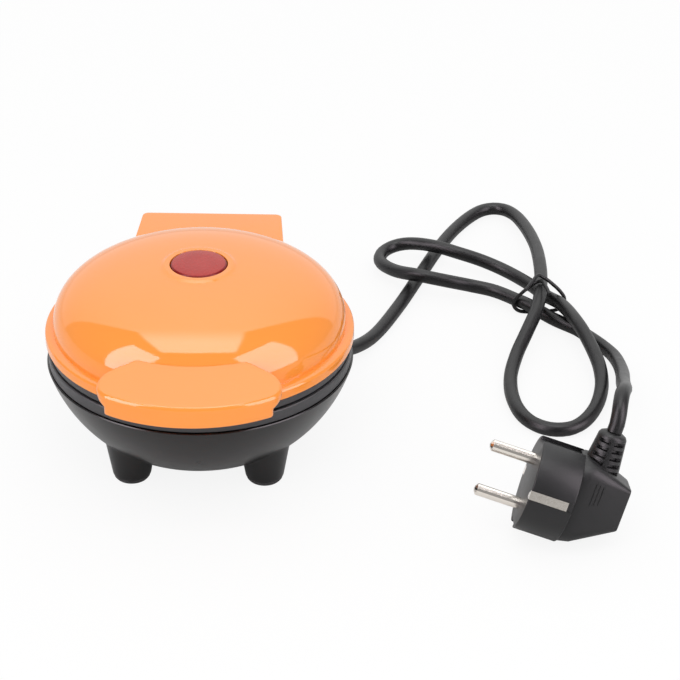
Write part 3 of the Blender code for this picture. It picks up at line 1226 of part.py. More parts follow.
def skirt_outline(inset=0):
    """The narrower wall under the handle's top."""
    centre_y = HANDLE_FRONT_ARC - HANDLE_FRONT
    half = HANDLE_SKIRT_HALF_WIDTH - inset
    radius = HANDLE_FRONT_ARC - inset
    swing = math.degrees(math.asin(half / radius))
    front = arc((0, centre_y), radius, -90 - swing, -90 + swing, 16)
    return front + [(half, -HANDLE_INNER_RADIUS), (-half, -HANDLE_INNER_RADIUS)]


def crown_mesh(name, drop):
    """A long cylinder whose top is the handle's sloping, crowned top."""
    slope = math.radians(HANDLE_SLOPE_DEG)
    length = HANDLE_FRONT * 4
    top = HANDLE_INNER_HEIGHT - drop
    middle = Vector((0, -HANDLE_INNER_RADIUS, top)) - HANDLE_CROWN_RADIUS * Vector((0, -math.sin(slope), math.cos(slope)))
    shape = bmesh.new()
    swing = Matrix.Rotation(math.pi / 2 + slope, 4, "X") @ Matrix.Rotation(math.pi / CROWN_STEPS, 4, "Z")
    bmesh.ops.create_cone(shape, cap_ends=True, segments=CROWN_STEPS, radius1=HANDLE_CROWN_RADIUS,
                          radius2=HANDLE_CROWN_RADIUS, depth=length, matrix=Matrix.Translation(middle) @ swing)
    return finished_mesh(name, shape)


def handle_ribs(front_y, back_y):
    """Stiffening ribs under the handle's top, evenly spaced along it."""
    low = HANDLE_CAP_BOTTOM
    outline = [(front_y, low), (back_y, low), (back_y, HANDLE_INNER_HEIGHT - HANDLE_WALL / 2),
               (front_y, low + HANDLE_RIB_HEIGHT)]
    half = HANDLE_RIB_THICKNESS / 2
    first = -HANDLE_RIB_SPACING * (HANDLE_RIBS - 1) / 2
    ribs = add_tool("handle_ribs", side_slab(outline, first - half, first + half, "handle_ribs"), "lid")
    repeat = ribs.modifiers.new("along", "ARRAY")
    repeat.count = HANDLE_RIBS
    repeat.use_relative_offset = False
    repeat.use_constant_offset = True
    repeat.constant_offset_displace = (HANDLE_RIB_SPACING, 0, 0)
    inside = upright(skirt_outline(HANDLE_WALL / 2), HANDLE_BOTTOM, HANDLE_INNER_HEIGHT, "rib_limit")
    trim(ribs, add_tool("rib_limit", inside, "lid"))
    return ribs


def make_handle():
    """A hollow moulded handle: bean-shaped top, skirt, two screw bosses and stiffening ribs."""
    high = HANDLE_INNER_HEIGHT + OVERRUN
    handle = add_part("handle", upright(handle_outline(), HANDLE_CAP_BOTTOM, high, "handle"), "lid", "orange_gloss")
    skirt = upright(skirt_outline(), HANDLE_BOTTOM, HANDLE_CAP_BOTTOM + OVERRUN, "skirt_form")
    join(handle, add_tool("skirt_form", skirt, "lid"))
    trim(handle, add_tool("handle_crown", crown_mesh("handle_crown", 0), "lid"))
    pocket = add_tool("handle_pocket", upright(skirt_outline(HANDLE_WALL), HANDLE_BOTTOM - OVERRUN, high,
                                               "handle_pocket"), "lid")
    trim(pocket, add_tool("pocket_crown", crown_mesh("pocket_crown", HANDLE_WALL), "lid"))
    cut(handle, pocket)
    front_y = HANDLE_FRONT - HANDLE_WALL / 2
    back_y = handle_wall_y() - LID_WALL
    centres = [(side * HANDLE_BOSS_X, -(front_y + back_y) / 2, HANDLE_BOSS_Z) for side, _ in SIDES]
    bosses = rods_mesh("handle_bosses", centres, HANDLE_BOSS_RADIUS, front_y - back_y, "Y", HOLE_STEPS)
    join(handle, add_tool("handle_bosses", bosses, "lid"))
    join(handle, handle_ribs(-front_y, -back_y))
    cut(handle, shell_tool("handle_seat", lid_clearance_profile(), "lid"))
    tip = handle_wall_y() + GAP + HANDLE_SCREW_REACH
    hole_centres = [(side * HANDLE_BOSS_X, -(tip + back_y) / 2, HANDLE_BOSS_Z) for side, _ in SIDES]
    holes = rods_mesh("handle_holes", hole_centres, SMALL_SCREW_HOLE_RADIUS, tip - back_y, "Y", HOLE_STEPS)
    cut(handle, add_tool("handle_holes", holes, "lid"))


def make_handle_screws():
    """Two screws from inside the lid into the handle's bosses."""
    wall_top = handle_wall_y(HANDLE_BOSS_Z + SMALL_SCREW_HEAD_RADIUS)
    head_face = wall_top - LID_WALL - HANDLE_SCREW_SETBACK - SMALL_SCREW_HEAD_HEIGHT
    tip = handle_wall_y() + HANDLE_SCREW_REACH - GAP
    profile = screw_profile(tip - head_face, SMALL_SCREW_SHANK_RADIUS, SMALL_SCREW_HEAD_RADIUS,
                            SMALL_SCREW_HEAD_HEIGHT)
    for side, label in SIDES:
        place = (side * HANDLE_BOSS_X, -head_face, HANDLE_BOSS_Z)
        turned_part("handle_screw_" + label, profile, "lid", "steel", SCREW_STEPS, place=place,
                    turn=(math.pi / 2, 0, 0))


# Hinge cover

def cover_outline(inset=0, front=COVER_FRONT):
    """The hinge cover's plan, a shallow trapezium with rounded rear corners."""
    back = COVER_BACK - inset
    half = COVER_BACK_HALF_WIDTH - inset
    corner = max(COVER_CORNER - inset, GAP)
    lean = (COVER_FRONT_HALF_WIDTH - COVER_BACK_HALF_WIDTH) / (COVER_BACK - COVER_FRONT)
    right = arc((half - corner, back - corner), corner, 0, 90, 6)
    front_half = half + lean * (back - front)
    side = [(front_half, front)] + right
    return side + [(-x, y) for x, y in reversed(side)]


def make_hinge_cover():
    """The flat cover over the hinge, hollow below, with a boss over each hinge arm."""
    cover = add_part("hinge_cover", upright(cover_outline(), COVER_BOTTOM, COVER_TOP, "hinge_cover"), "lid",
                     "orange_gloss")
    under = COVER_TOP - COVER_PLATE
    room = upright(cover_outline(COVER_WALL, COVER_FRONT - COVER_WALL), COVER_BOTTOM - OVERRUN, under, "cover_room")
    cut(cover, add_tool("cover_room", room, "lid"))
    places = [(side * EAR_MIDDLE_X, COVER_BOSS_Y) for side, _ in SIDES]
    bosses = pegs_mesh("cover_bosses", places, COVER_BOSS_RADIUS, COVER_BOSS_RADIUS, ARM_TOP + GAP,
                       under + COVER_PLATE / 2, HOLE_STEPS)
    join(cover, add_tool("cover_bosses", bosses, "lid"))
    holes = pegs_mesh("cover_holes", places, SMALL_SCREW_HOLE_RADIUS, SMALL_SCREW_HOLE_RADIUS, ARM_TOP - OVERRUN,
                      under + COVER_PLATE / 3, HOLE_STEPS)
    seat = shell_tool("cover_seat", lid_clearance_profile(), "lid")
    cut(cover, seat, add_tool("cover_holes", holes, "lid"))


def make_cover_screws():
    """Two screws up through the hinge arms into the cover's bosses."""
    head = FLANGE_BOTTOM - SMALL_SCREW_HEAD_HEIGHT
    tip = COVER_TOP - COVER_PLATE
    profile = screw_profile(tip - head, SMALL_SCREW_SHANK_RADIUS, SMALL_SCREW_HEAD_RADIUS, SMALL_SCREW_HEAD_HEIGHT)
    for side, label in SIDES:
        place = (side * EAR_MIDDLE_X, COVER_BOSS_Y, head)
        turned_part("cover_screw_" + label, profile, "lid", "steel", SCREW_STEPS, place=place)


# Hinge pins and leads

def make_hinge_pins():
    """A steel pin on each side, through a base knuckle and a lid ear."""
    length = EAR_OUTER_X - KNUCKLE_INNER_X - 2 * PIN_INSET
    middle = (EAR_OUTER_X + KNUCKLE_INNER_X) / 2
    for side, label in SIDES:
        name = "hinge_pin_" + label
        add_part(name, rods_mesh(name, [(side * middle, HINGE_Y, HINGE_Z)], PIN_RADIUS, length, "X", HOLE_STEPS),
                 "base", "steel")


def smooth_points(points, step):
    """Points at even steps on a smooth curve through a row of points."""
    knots = [Vector(point) for point in points]
    ends = [2 * knots[0] - knots[1]] + knots + [2 * knots[-1] - knots[-2]]
    fine = []
    for before, start, end, after in zip(ends, ends[1:], ends[2:], ends[3:]):
        reach = (end - start).length
        lead_in = (end - before).normalized() * reach / 3
        lead_out = (after - start).normalized() * reach / 3
        fine += interpolate_bezier(start, start + lead_in, end - lead_out, end, 24)[:-1]
    fine.append(knots[-1])
    total = sum((b - a).length for a, b in zip(fine, fine[1:]))
    count = max(round(total / step), 2)
    spaced = [fine[0]]
    travelled = 0
    for a, b in zip(fine, fine[1:]):
        travelled += (b - a).length
        if travelled >= total * len(spaced) / count and len(spaced) < count:
            spaced.append(b)
    return spaced + [fine[-1]], total


def make_leads():
    """Two sleeved leads that meet end to end on the hinge's axis, so each turns with its own body."""
    bend = LEAD_BEND
    low = [(BASE_LEAD_X, HINGE_Y - BASE_LEAD_SWAY, BASE_LEAD_LOW),
           (BASE_LEAD_X, HINGE_Y - BASE_LEAD_SWAY / 4, (BASE_LEAD_LOW + BASE_LEAD_STRAIGHT) / 2),
           (BASE_LEAD_X, HINGE_Y, BASE_LEAD_STRAIGHT)]
    turn = [(BASE_LEAD_X + bend - x, HINGE_Y, HINGE_Z - bend + z) for x, z in arc((0, 0), bend, 0, 90, 4)]
    base_path = low + turn + [(-GAP, HINGE_Y, HINGE_Z)]
    add_part("base_lead", tube_mesh("base_lead", base_path, LEAD_RADIUS), "base", "sleeve_white")
    lid_route = [(GAP, HINGE_Y, HINGE_Z), (LID_LEAD_X / 4, HINGE_Y, HINGE_Z),
                 (LID_LEAD_X * 3 / 4, HINGE_Y - LEAD_BEND / 2, HINGE_Z + LEAD_BEND / 4),
                 (LID_LEAD_X, HINGE_Y - LEAD_BEND * 3 / 2, LID_LEAD_HEIGHT - LEAD_BEND / 2),
                 (LID_LEAD_X, FLANGE_RADIUS + OVERRUN, LID_LEAD_HEIGHT),
                 (LID_LEAD_X, LID_LEAD_END, LID_LEAD_HEIGHT)]
    path, _ = smooth_points(lid_route, LEAD_RADIUS * 2)
    add_part("lid_lead", tube_mesh("lid_lead", path, LEAD_RADIUS), "lid", "sleeve_white")


# Mains cord and tie

def plug_point(x, y, z):
    """A point of the plug's frame in the bowl's frame."""
    turn = Euler([math.radians(angle) for angle in PLUG_TURN_DEG]).to_matrix()
    return Vector(PLUG_PLACE) + turn @ Vector((x, y, z))


def cord_path():
    """The cord's points from the strain relief's end to the plug's neck, straight for a little at each end."""
    start = Vector((GLAND_END_X + GAP, GLAND_Y, GLAND_Z))
    end = plug_point(PLUG_NECK_X, PLUG_NECK_END + GAP, 0)
    end_lead = plug_point(PLUG_NECK_X, PLUG_NECK_END + GAP + CORD_RADIUS, 0)
    start_lead = start + Vector((CORD_RADIUS, 0, 0))
    path, length = smooth_points([start_lead] + list(CORD_ROUTE) + [end_lead], CORD_STEP)
    return [start] + path + [end], length + 2 * CORD_RADIUS


def make_cord():
    """The round mains cord, laid on the table in the loops that the tie holds."""
    path, length = cord_path()
    print("cord length %.3f m, %d points" % (length, len(path)))
    add_part("mains_cord", tube_mesh("mains_cord", path, CORD_RADIUS), "base", "cord_black")


def make_twist_tie():
    """One turn of covered wire round the crossing strands, with two short tails."""
    add_part("twist_tie", tube_mesh("twist_tie", TIE_ROUTE, TIE_WIRE_RADIUS, 1), "base", "cord_black")


# Plug

def hood_mesh():
    """The plug's rear hood: a loft from the drum's back to a small flat end."""
    front = [(PLUG_DRUM_RADIUS - GAP, 1), (PLUG_DRUM_RADIUS - GAP, -1)]
    shape = bmesh.new()
    sections = ((PLUG_DRUM_DEPTH - OVERRUN, -front[0][0] * 0.94, front[0][0] * 0.94, PLUG_HOOD_SHOULDER),
                (PLUG_DRUM_DEPTH + OVERRUN, -front[0][0] * 0.86, front[0][0], PLUG_HOOD_SHOULDER),
                (PLUG_HOOD_DEPTH, PLUG_HOOD_LOW, PLUG_HOOD_HIGH, PLUG_HOOD_HALF_THICKNESS))
    rings = []
    for x, low, high, half in sections:
        middle = (low + high) / 2
        reach = (high - low) / 2
        ring = []
        for i in range(HOLE_STEPS):
            angle = math.tau * (i + 1 / 2) / HOLE_STEPS
            across = math.copysign(abs(math.cos(angle)) ** (2 / 3), math.cos(angle))
            through = math.copysign(abs(math.sin(angle)) ** (2 / 3), math.sin(angle))
            ring.append(shape.verts.new((x, middle + reach * across, half * through)))
        rings.append(ring)
    for near, far in zip(rings, rings[1:]):
        for i in range(HOLE_STEPS):
            j = (i + 1) % HOLE_STEPS
            shape.faces.new((near[i], near[j], far[j], far[i]))
    shape.faces.new(rings[0][::-1])
    shape.faces.new(rings[-1])
    return finished_mesh("plug_hood", shape)


def neck_profile():
    """The plug's ribbed neck, pointing along its own axis."""
    length = PLUG_NECK_END - PLUG_NECK_START
    ribbed = length / 2
    pitch = ribbed / (2 * PLUG_NECK_GROOVES + 1)
    points = [(0, length)]
    for i in range(2 * PLUG_NECK_GROOVES + 1):
        share = (i + 1) / (2 * PLUG_NECK_GROOVES + 1)
        radius = PLUG_NECK_END_RADIUS + (PLUG_NECK_RADIUS - PLUG_NECK_END_RADIUS) * share
        if i % 2:
            radius -= PLUG_NECK_GROOVE_DEPTH
        points += [(radius, length - pitch * i), (radius, length - pitch * (i + 1))]
    return points + [(PLUG_NECK_RADIUS, 0), (0, 0)]


def make_plug_body():
    """The angled plug's moulded body: drum, hood, ribbed neck, guide grooves and clip slots."""
    drum = [(0, 0), (PLUG_DRUM_RADIUS - RIM_CHAMFER, 0), (PLUG_DRUM_RADIUS, -RIM_CHAMFER),
            (PLUG_DRUM_RADIUS, -PLUG_DRUM_DEPTH), (0, -PLUG_DRUM_DEPTH)]
    facing = (0, -math.pi / 2, 0)
    body = turned_part("plug_body", drum, "plug", "plug_black", PLATE_STEPS, turn=facing)
    join(body, add_tool("plug_hood", hood_mesh(), "plug"))
    neck = turned_tool("plug_neck", neck_profile(), "plug", HOLE_STEPS + 4, place=(PLUG_NECK_X, PLUG_NECK_START, 0),
                       turn=(-math.pi / 2, 0, 0))
    join(body, neck)
    half = PLUG_FLAT_HALF_WIDTH
    for side, label in SIDES:
        edge = sorted((side * (PLUG_DRUM_RADIUS - PLUG_FLAT_DEPTH), side * (PLUG_DRUM_RADIUS + OVERRUN)))
        groove = block_mesh("guide_groove_" + label, (-OVERRUN, edge[0], -half),
                            (PLUG_DRUM_DEPTH - OVERRUN, edge[1], half))
        cut(body, add_tool("guide_groove_" + label, groove, "plug"))
    slot_half = PLUG_CLIP_WIDTH / 2 + GAP
    for side, label in SIDES:
        edge = sorted((side * (PLUG_DRUM_RADIUS - PLUG_CLIP_THICKNESS - GAP), side * (PLUG_DRUM_RADIUS + OVERRUN)))
        slot = block_mesh("clip_slot_" + label, (-OVERRUN, -slot_half, edge[0]),
                          (PLUG_CLIP_LENGTH + GAP, slot_half, edge[1]))
        turn_in = sorted((side * (PLUG_DRUM_RADIUS - PLUG_CLIP_TURN_IN - GAP), side * (PLUG_DRUM_RADIUS + OVERRUN)))
        notch = block_mesh("clip_notch_" + label, (-OVERRUN, -slot_half, turn_in[0]),
                           (PLUG_CLIP_THICKNESS + GAP, slot_half, turn_in[1]))
        cut(body, add_tool("clip_slot_" + label, slot, "plug"), add_tool("clip_notch_" + label, notch, "plug"))
    roots = rods_mesh("pin_holes", [(PLUG_PIN_ROOT / 2, side * PLUG_PIN_SPACING, 0) for side, _ in SIDES],
                      PLUG_PIN_RADIUS + GAP, PLUG_PIN_ROOT + OVERRUN, "X", HOLE_STEPS + 4)
    cut(body, add_tool("pin_holes", roots, "plug"))


def make_plug_pins():
    """Two nickel pins with rounded tips, rooted in the plug's face."""
    length = PLUG_PIN_LENGTH
    root = PLUG_PIN_ROOT - GAP
    profile = [(0, length), (PLUG_PIN_RADIUS / 2, length - PLUG_PIN_TIP / 4), (PLUG_PIN_RADIUS, length - PLUG_PIN_TIP),
               (PLUG_PIN_RADIUS, -root), (0, -root)]
    for side, label in ((1, "upper"), (-1, "lower")):
        turned_part("plug_pin_" + label, profile, "plug", "nickel", HOLE_STEPS + 4,
                    place=(0, side * PLUG_PIN_SPACING, 0), turn=(0, -math.pi / 2, 0))


def make_earth_clips():
    """Two bent metal strips in the drum's slots, each turned in over the face."""
    outer = PLUG_DRUM_RADIUS
    inner = outer - PLUG_CLIP_THICKNESS
    turned_in = outer - PLUG_CLIP_TURN_IN
    outline = [(0, outer), (0, turned_in), (PLUG_CLIP_THICKNESS, turned_in), (PLUG_CLIP_THICKNESS, inner),
               (PLUG_CLIP_LENGTH, inner), (PLUG_CLIP_LENGTH, outer)]
    across = Matrix(((1, 0, 0, 0), (0, 0, -1, 0), (0, 1, 0, 0), (0, 0, 0, 1)))
    for side, label in ((1, "front"), (-1, "rear")):
        mirrored = [(x, side * z) for x, z in outline]
        mesh = outline_mesh("earth_clip_" + label, mirrored, PLUG_CLIP_WIDTH, across)
        add_part("earth_clip_" + label, mesh, "plug", "nickel")


def build():
    """Make every piece of the object."""
    make_base_shell()
    make_foot_pads()
    make_base_ring()
    make_lower_plate()
    make_base_screws()
    make_heater("lower_heater", LOWER_HEATER_CIRCLE, LOWER_BACK - GAP - HEATER_TUBE_RADIUS, -HEATER_TAIL, "base")
    make_thermostat()
    make_thermal_fuse()
    make_terminal_block()
    make_cord_gland()
    make_cord_clamp()
    make_lid_shell()
    make_lid_ring()
    make_upper_plate()
    make_plate_screws()
    make_heater("upper_heater", UPPER_HEATER_CIRCLE, UPPER_BACK + GAP + HEATER_TUBE_RADIUS, HEATER_TAIL, "lid")
    make_heat_shield()
    make_lamp()
    make_handle()
    make_handle_screws()
    make_hinge_cover()
    make_cover_screws()
    make_hinge_pins()
    make_leads()
    make_cord()
    make_twist_tie()
    make_plug_body()
    make_plug_pins()
    make_earth_clips()
    bpy.context.view_layer.update()


build()
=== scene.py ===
# %% [markdown]
# # A round cake maker
# A small countertop cooker: a dark bowl on four feet, a glossy orange lid with a lamp and a
# handle, and a black mains cord that is still tied in the loops it was sold in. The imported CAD
# model is the fixed frame. Everything made below sits on it, in metres.

# %% The fixed frame
import json
import math

import bmesh
import bpy
from mathutils import Euler, Matrix, Vector
from mathutils.geometry import interpolate_bezier


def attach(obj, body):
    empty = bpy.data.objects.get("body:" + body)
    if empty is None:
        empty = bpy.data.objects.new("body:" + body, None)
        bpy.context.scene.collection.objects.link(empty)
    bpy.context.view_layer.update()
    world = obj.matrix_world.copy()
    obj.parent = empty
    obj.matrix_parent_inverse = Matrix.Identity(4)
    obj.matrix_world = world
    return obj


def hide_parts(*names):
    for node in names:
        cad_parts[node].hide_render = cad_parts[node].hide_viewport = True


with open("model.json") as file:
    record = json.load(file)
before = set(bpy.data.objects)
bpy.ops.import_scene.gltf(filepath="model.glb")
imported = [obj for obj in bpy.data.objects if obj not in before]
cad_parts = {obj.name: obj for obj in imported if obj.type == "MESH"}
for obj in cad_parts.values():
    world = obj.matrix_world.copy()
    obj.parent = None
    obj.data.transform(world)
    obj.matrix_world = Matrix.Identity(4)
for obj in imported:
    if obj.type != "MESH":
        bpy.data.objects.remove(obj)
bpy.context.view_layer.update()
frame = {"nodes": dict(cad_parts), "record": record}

MM = 0.001


def at(x, y, z=0):
    """The matrix of a place in millimetres."""
    return Matrix.Translation(Vector((x, y, z)) * MM)


def add_object(name, data):
    """A new object in the scene."""
    thing = bpy.data.objects.new(name, data)
    bpy.context.scene.collection.objects.link(thing)
    return thing


BOWL_AXIS = at(0, -4.25)

# %% [markdown]
# ## Camera
# The camera is found from things whose shape is known: the lid's flange and the lamp are
# circles, the feet stand on one plane. That gives a long lens, 30 degrees above the table.

# %% Camera
PITCH, TURN, ROLL = math.radians(30.32), math.radians(-0.20), math.radians(0.76)
CAMERA_PLACE = at(60.6, -826.85, 531.5)
SENSOR = 36
LENS = 2305 / 680 * SENSOR


def add_camera():
    """A camera without depth of field or shift, from its pitch, turn and roll."""
    data = bpy.data.cameras.new("camera")
    data.lens = LENS
    data.sensor_width = SENSOR
    camera = add_object("camera", data)
    tilt = Matrix.Rotation(math.pi / 2 - PITCH, 4, "X") @ Matrix.Rotation(ROLL, 4, "Z")
    camera.matrix_world = CAMERA_PLACE @ Matrix.Rotation(-TURN, 4, "Z") @ tilt
    bpy.context.scene.camera = camera


add_camera()

# %% [markdown]
# ## Cord
# The cord comes before anything that is drawn round it. Its route is a row of points
# in millimetres, the same as in the CAD, joined by smooth cubic pieces. It leaves the strain relief
# level, sinks to the table, runs through its two tied loops and rises to the plug's neck.

# %% Cord route
CORD_RADIUS = 3.1 * MM
CORD_ROUTE = (
    (52.5, 58.1, 13.6), (57.5, 60.5, 10.8), (63.2, 68.1, 6.6), (72.7, 84.2, 3.6), (83.8, 110.8, 3.3),
    (94.3, 141, 3.3), (105.2, 172.4, 3.3), (114.4, 193, 3.4), (125, 208.5, 3.8), (132.6, 212.2, 4.2),
    (139.8, 208.5, 5), (145.6, 195, 6.6), (150.5, 164.4, 10.2), (151.3, 135.5, 13), (149.9, 111.5, 13.6),
    (147, 94.5, 12.6), (142, 80.8, 9), (136.6, 66.4, 5), (133.1, 48.6, 3.4), (133.8, 29.2, 3.3),
    (138.8, 15, 3.3), (147.8, 8, 3.3), (158.2, 9.6, 3.4), (166.8, 20, 4.4), (172, 36.5, 5.8),
    (172.6, 52, 7.6), (169.9, 67.2, 9.8), (165.3, 83.8, 11.8), (159.2, 106, 9.4), (153.3, 118.2, 6.8),
    (146.4, 131.9, 5.4), (135.9, 144.2, 5.6), (124.9, 150, 7.8), (113.5, 152.7, 10.4), (102.3, 157.7, 11.2),
    (91.1, 164, 9.2), (83, 165, 7.2), (77, 159, 6.4), (76.3, 149, 6.8), (83, 137, 8.8),
    (94, 128, 11.4), (107.1, 126.2, 9.6), (118.4, 127.1, 6.8), (129.4, 124.5, 5.6), (140, 116.2, 5.4),
    (145.2, 111.7, 5.3), (155.5, 101.8, 4), (165.9, 93.5, 3.4), (169.8, 88.3, 3.3), (173.6, 82.9, 3.3),
    (177.3, 76.4, 3.6), (180.1, 67.6, 5), (181.1, 54.5, 8.5), (180.3, 35, 15.5), (177.3, 8.5, 26.8),
    (174.4, -18, 40.2), (172.3, -32.5, 48.4), (170.9, -40, 52.2), (169.7, -45.8, 53.7), (168.7, -50.8, 52.6),
    (168, -54.3, 50),
)
PLUG_TURN = Euler([math.radians(angle) for angle in (71.4, 16.8, -6.5)])
PLUG = BOWL_AXIS @ at(132.7, -63.1, 23.9) @ PLUG_TURN.to_matrix().to_4x4()
GLAND_END = Vector((46.6, 58, 14.5)) * MM


def smooth_points(points, step):
    """Evenly spaced points on a smooth curve through a row of points, and its length."""
    knots = [Vector(point) for point in points]
    ends = [2 * knots[0] - knots[1]] + knots + [2 * knots[-1] - knots[-2]]
    fine = []
    for before, start, end, after in zip(ends, ends[1:], ends[2:], ends[3:]):
        reach = (end - start).length / 3
        fine += interpolate_bezier(start, start + (end - before).normalized() * reach,
                                   end - (after - start).normalized() * reach, end, 24)[:-1]
    fine.append(knots[-1])
    total = sum((b - a).length for a, b in zip(fine, fine[1:]))
    count = max(round(total / step), 2)
    spaced, travelled = [fine[0]], 0
    for a, b in zip(fine, fine[1:]):
        travelled += (b - a).length
        if travelled >= total * len(spaced) / count and len(spaced) < count:
            spaced.append(b)
    return spaced + [fine[-1]], total


def cord_points(step):
    """The cord's centreline in the row frame, from the strain relief to the plug's neck."""
    gap = 0.3 * MM
    start = GLAND_END + Vector((gap, 0, 0))
    lead_in = start + Vector((CORD_RADIUS, 0, 0))
    to_bowl = BOWL_AXIS.inverted() @ PLUG
    end = to_bowl @ Vector((25.5 * MM, 30 * MM + gap, 0))
    lead_out = to_bowl @ Vector((25.5 * MM, 30 * MM + gap + CORD_RADIUS, 0))
    route = [Vector(point) * MM for point in CORD_ROUTE]
    path, length = smooth_points([lead_in, *route, lead_out], step)
    row = [BOWL_AXIS @ point for point in [start, *path, end]]
    return row, length + 2 * CORD_RADIUS


CORD_PATH, CORD_LENGTH = cord_points(2.5 * MM)

# %% [markdown]
# ## Light and surroundings
# Glossy plastic is photographed with large soft boxes in a white room. Here a plain white world
# and one large lamp light the object evenly, so that colours render as they are written. Only
# mirror-like rays see such a room: a bright back wall, a soft box overhead and one at each side.

# %% Sums of shader values
class Field:
    """A value that varies over a surface. Sums and products of fields become Math nodes."""

    def __init__(self, tree, socket):
        self.tree, self.socket = tree, socket

    def node(self, operation, *values):
        return self.tree.node("ShaderNodeMath", {"operation": operation}, *values)

    __add__ = __radd__ = lambda self, other: self.node("ADD", self, other)
    __mul__ = __rmul__ = lambda self, other: self.node("MULTIPLY", self, other)
    __sub__ = lambda self, other: self.node("SUBTRACT", self, other)
    __rsub__ = lambda self, other: self.node("SUBTRACT", other, self)
    __truediv__ = lambda self, other: self.node("DIVIDE", self, other)
    at_least = lambda self, other: self.node("MAXIMUM", self, other)
    size = lambda self: self.node("ABSOLUTE", self)

    def between(self, low, high):
        """0 below low, 1 above high, and smooth between them."""
        settings = {"interpolation_type": "SMOOTHSTEP", "clamp": True}
        span = {"From Min": low, "From Max": high}
        return self.tree.node("ShaderNodeMapRange", settings, Value=self, **span)


class Tree:
    """The node tree of a world or material that is being filled."""

    def __init__(self, owner, clear=True):
        owner.use_nodes = True
        self.nodes, self.links = owner.node_tree.nodes, owner.node_tree.links
        if clear:
            self.nodes.clear()

    def node(self, kind, settings=None, *values, output=0, **sockets):
        """Add a node: first its settings, then the values or links of its sockets."""
        made = self.nodes.new(kind)
        for name, value in (settings or {}).items():
            setattr(made, name, value)
        for key, value in [*enumerate(values), *sockets.items()]:
            socket = made.inputs[key]
            if isinstance(value, Field):
                self.links.new(value.socket, socket)
            else:
                socket.default_value = value
        return Field(self, made.outputs[output]) if made.outputs else made

    def parts(self, vector):
        """The three numbers of a vector."""
        split = self.node("ShaderNodeSeparateXYZ", None, vector)
        return [Field(self, socket) for socket in split.socket.node.outputs]

    def mix(self, factor, first, second):
        """A blend of two colours."""
        settings = {"data_type": "RGBA", "clamp_factor": True}
        mixer = self.node("ShaderNodeMix", settings, factor).socket.node
        for index, colour in ((6, first), (7, second)):
            if isinstance(colour, Field):
                self.links.new(colour.socket, mixer.inputs[index])
            else:
                mixer.inputs[index].default_value = (*colour, 1)
        return Field(self, mixer.outputs[2])


# %% [markdown]
# The parts of a direction are x to the right, y to the back and z up. A straight edge of the
# wall or of a box is a plane through the object, so it is a sum of those parts.

# %% World
DARK_GLOW, WALL_GLOW, WALL_TOP_GLOW, BOX_GLOW, WING_GLOW, WING_SLANT = 0.4, 1.1, 1.7, 3.0, 6.6, 1.0
WALL_FLARE, WALL_TURN, WALL_LEAN, WALL_DROP, WALL_EDGE = 1.55, 0.18, 0.045, 0.04, (-0.02, 0.03)
BOX_HALF, BOX_FRONT, BOX_FADE = 0.37, (-0.30, -0.25), (0.0, 0.36)
WING_BACK, WING_BACK_EDGE = (0.27, -0.165, -0.09), (-0.015, 0.015)
WING_TOP, WING_TOP_EDGE = (1.66, 0.906, -0.423), (-0.01, 0.02)
WING_FRONT, WING_FRONT_EDGE, WING_FOOT = 1.19, (-0.02, 0.02), (-0.05, 0.04)
WING_TINT = (1.0, 0.90, 0.97)
LEAST_UP = 0.03
AMBIENT = 0.80


def back_wall(x, y, z):
    """Mask and glow of the back wall and of the soft box that it runs into overhead."""
    across = (x + WALL_TURN * y + WALL_LEAN * z).size()
    reach = (WALL_FLARE * y - WALL_DROP * z).at_least(BOX_HALF * z)
    slope = y / z.at_least(LEAST_UP)
    mask = (reach - across).between(*WALL_EDGE) * slope.between(*BOX_FRONT)
    glow = WALL_GLOW + WALL_TOP_GLOW * z * z + BOX_GLOW * (1 - slope.between(*BOX_FADE))
    return mask, glow


def wings(x, y, z):
    """Mask of the two upright soft boxes beside the camera."""
    width = x.size()
    along, rise, turn_in = WING_BACK
    back = (y + along * width + rise * z + turn_in * x).between(*WING_BACK_EDGE)
    steep, out, ahead = WING_TOP
    top = (steep * (out * width + ahead * y) - z).between(*WING_TOP_EDGE)
    return (1 - back) * top * (y + WING_FRONT * width).between(*WING_FRONT_EDGE) * z.between(*WING_FOOT)


def fill_world():
    """White to the camera, plain to matt surfaces, a photo studio to shiny ones."""
    world = bpy.data.worlds.new("studio")
    bpy.context.scene.world = world
    tree = Tree(world)
    x, y, z = tree.parts(tree.node("ShaderNodeTexCoord"))
    wall, glow = back_wall(x, y, z)
    wing = wings(x, y, z)
    studio = DARK_GLOW + (glow - DARK_GLOW) * wall + (WING_GLOW - WING_SLANT * x) * wing
    camera = tree.node("ShaderNodeLightPath")
    glossy = Field(tree, camera.socket.node.outputs["Is Glossy Ray"])
    clear = Field(tree, camera.socket.node.outputs["Is Transmission Ray"])
    plain = camera + (1 - camera) * AMBIENT
    light = plain * (1 - glossy) * (1 - clear) + clear + glossy * studio
    tint = tree.mix(wing * glossy, (1, 1, 1), WING_TINT)
    background = tree.node("ShaderNodeBackground", None, tint, light)
    tree.node("ShaderNodeOutputWorld", None, background)


fill_world()

# %% Lamp
LAMP_PLACE, LAMP_AIM, LAMP_SIZE, LAMP_POWER = (0.05, -0.75, 1.15), (0.06, 0.03, 0), 1.1, 7


def add_lamp():
    """A square soft lamp that only lights: shiny surfaces see the studio of the world instead."""
    data = bpy.data.lights.new("overhead", "AREA")
    data.size = LAMP_SIZE
    data.energy = LAMP_POWER
    lamp = add_object("overhead", data)
    lamp.location = LAMP_PLACE
    lamp.rotation_euler = (Vector(LAMP_PLACE) - Vector(LAMP_AIM)).to_track_quat("Z", "Y").to_euler()
    lamp.visible_glossy = False
    lamp.visible_camera = False


add_lamp()

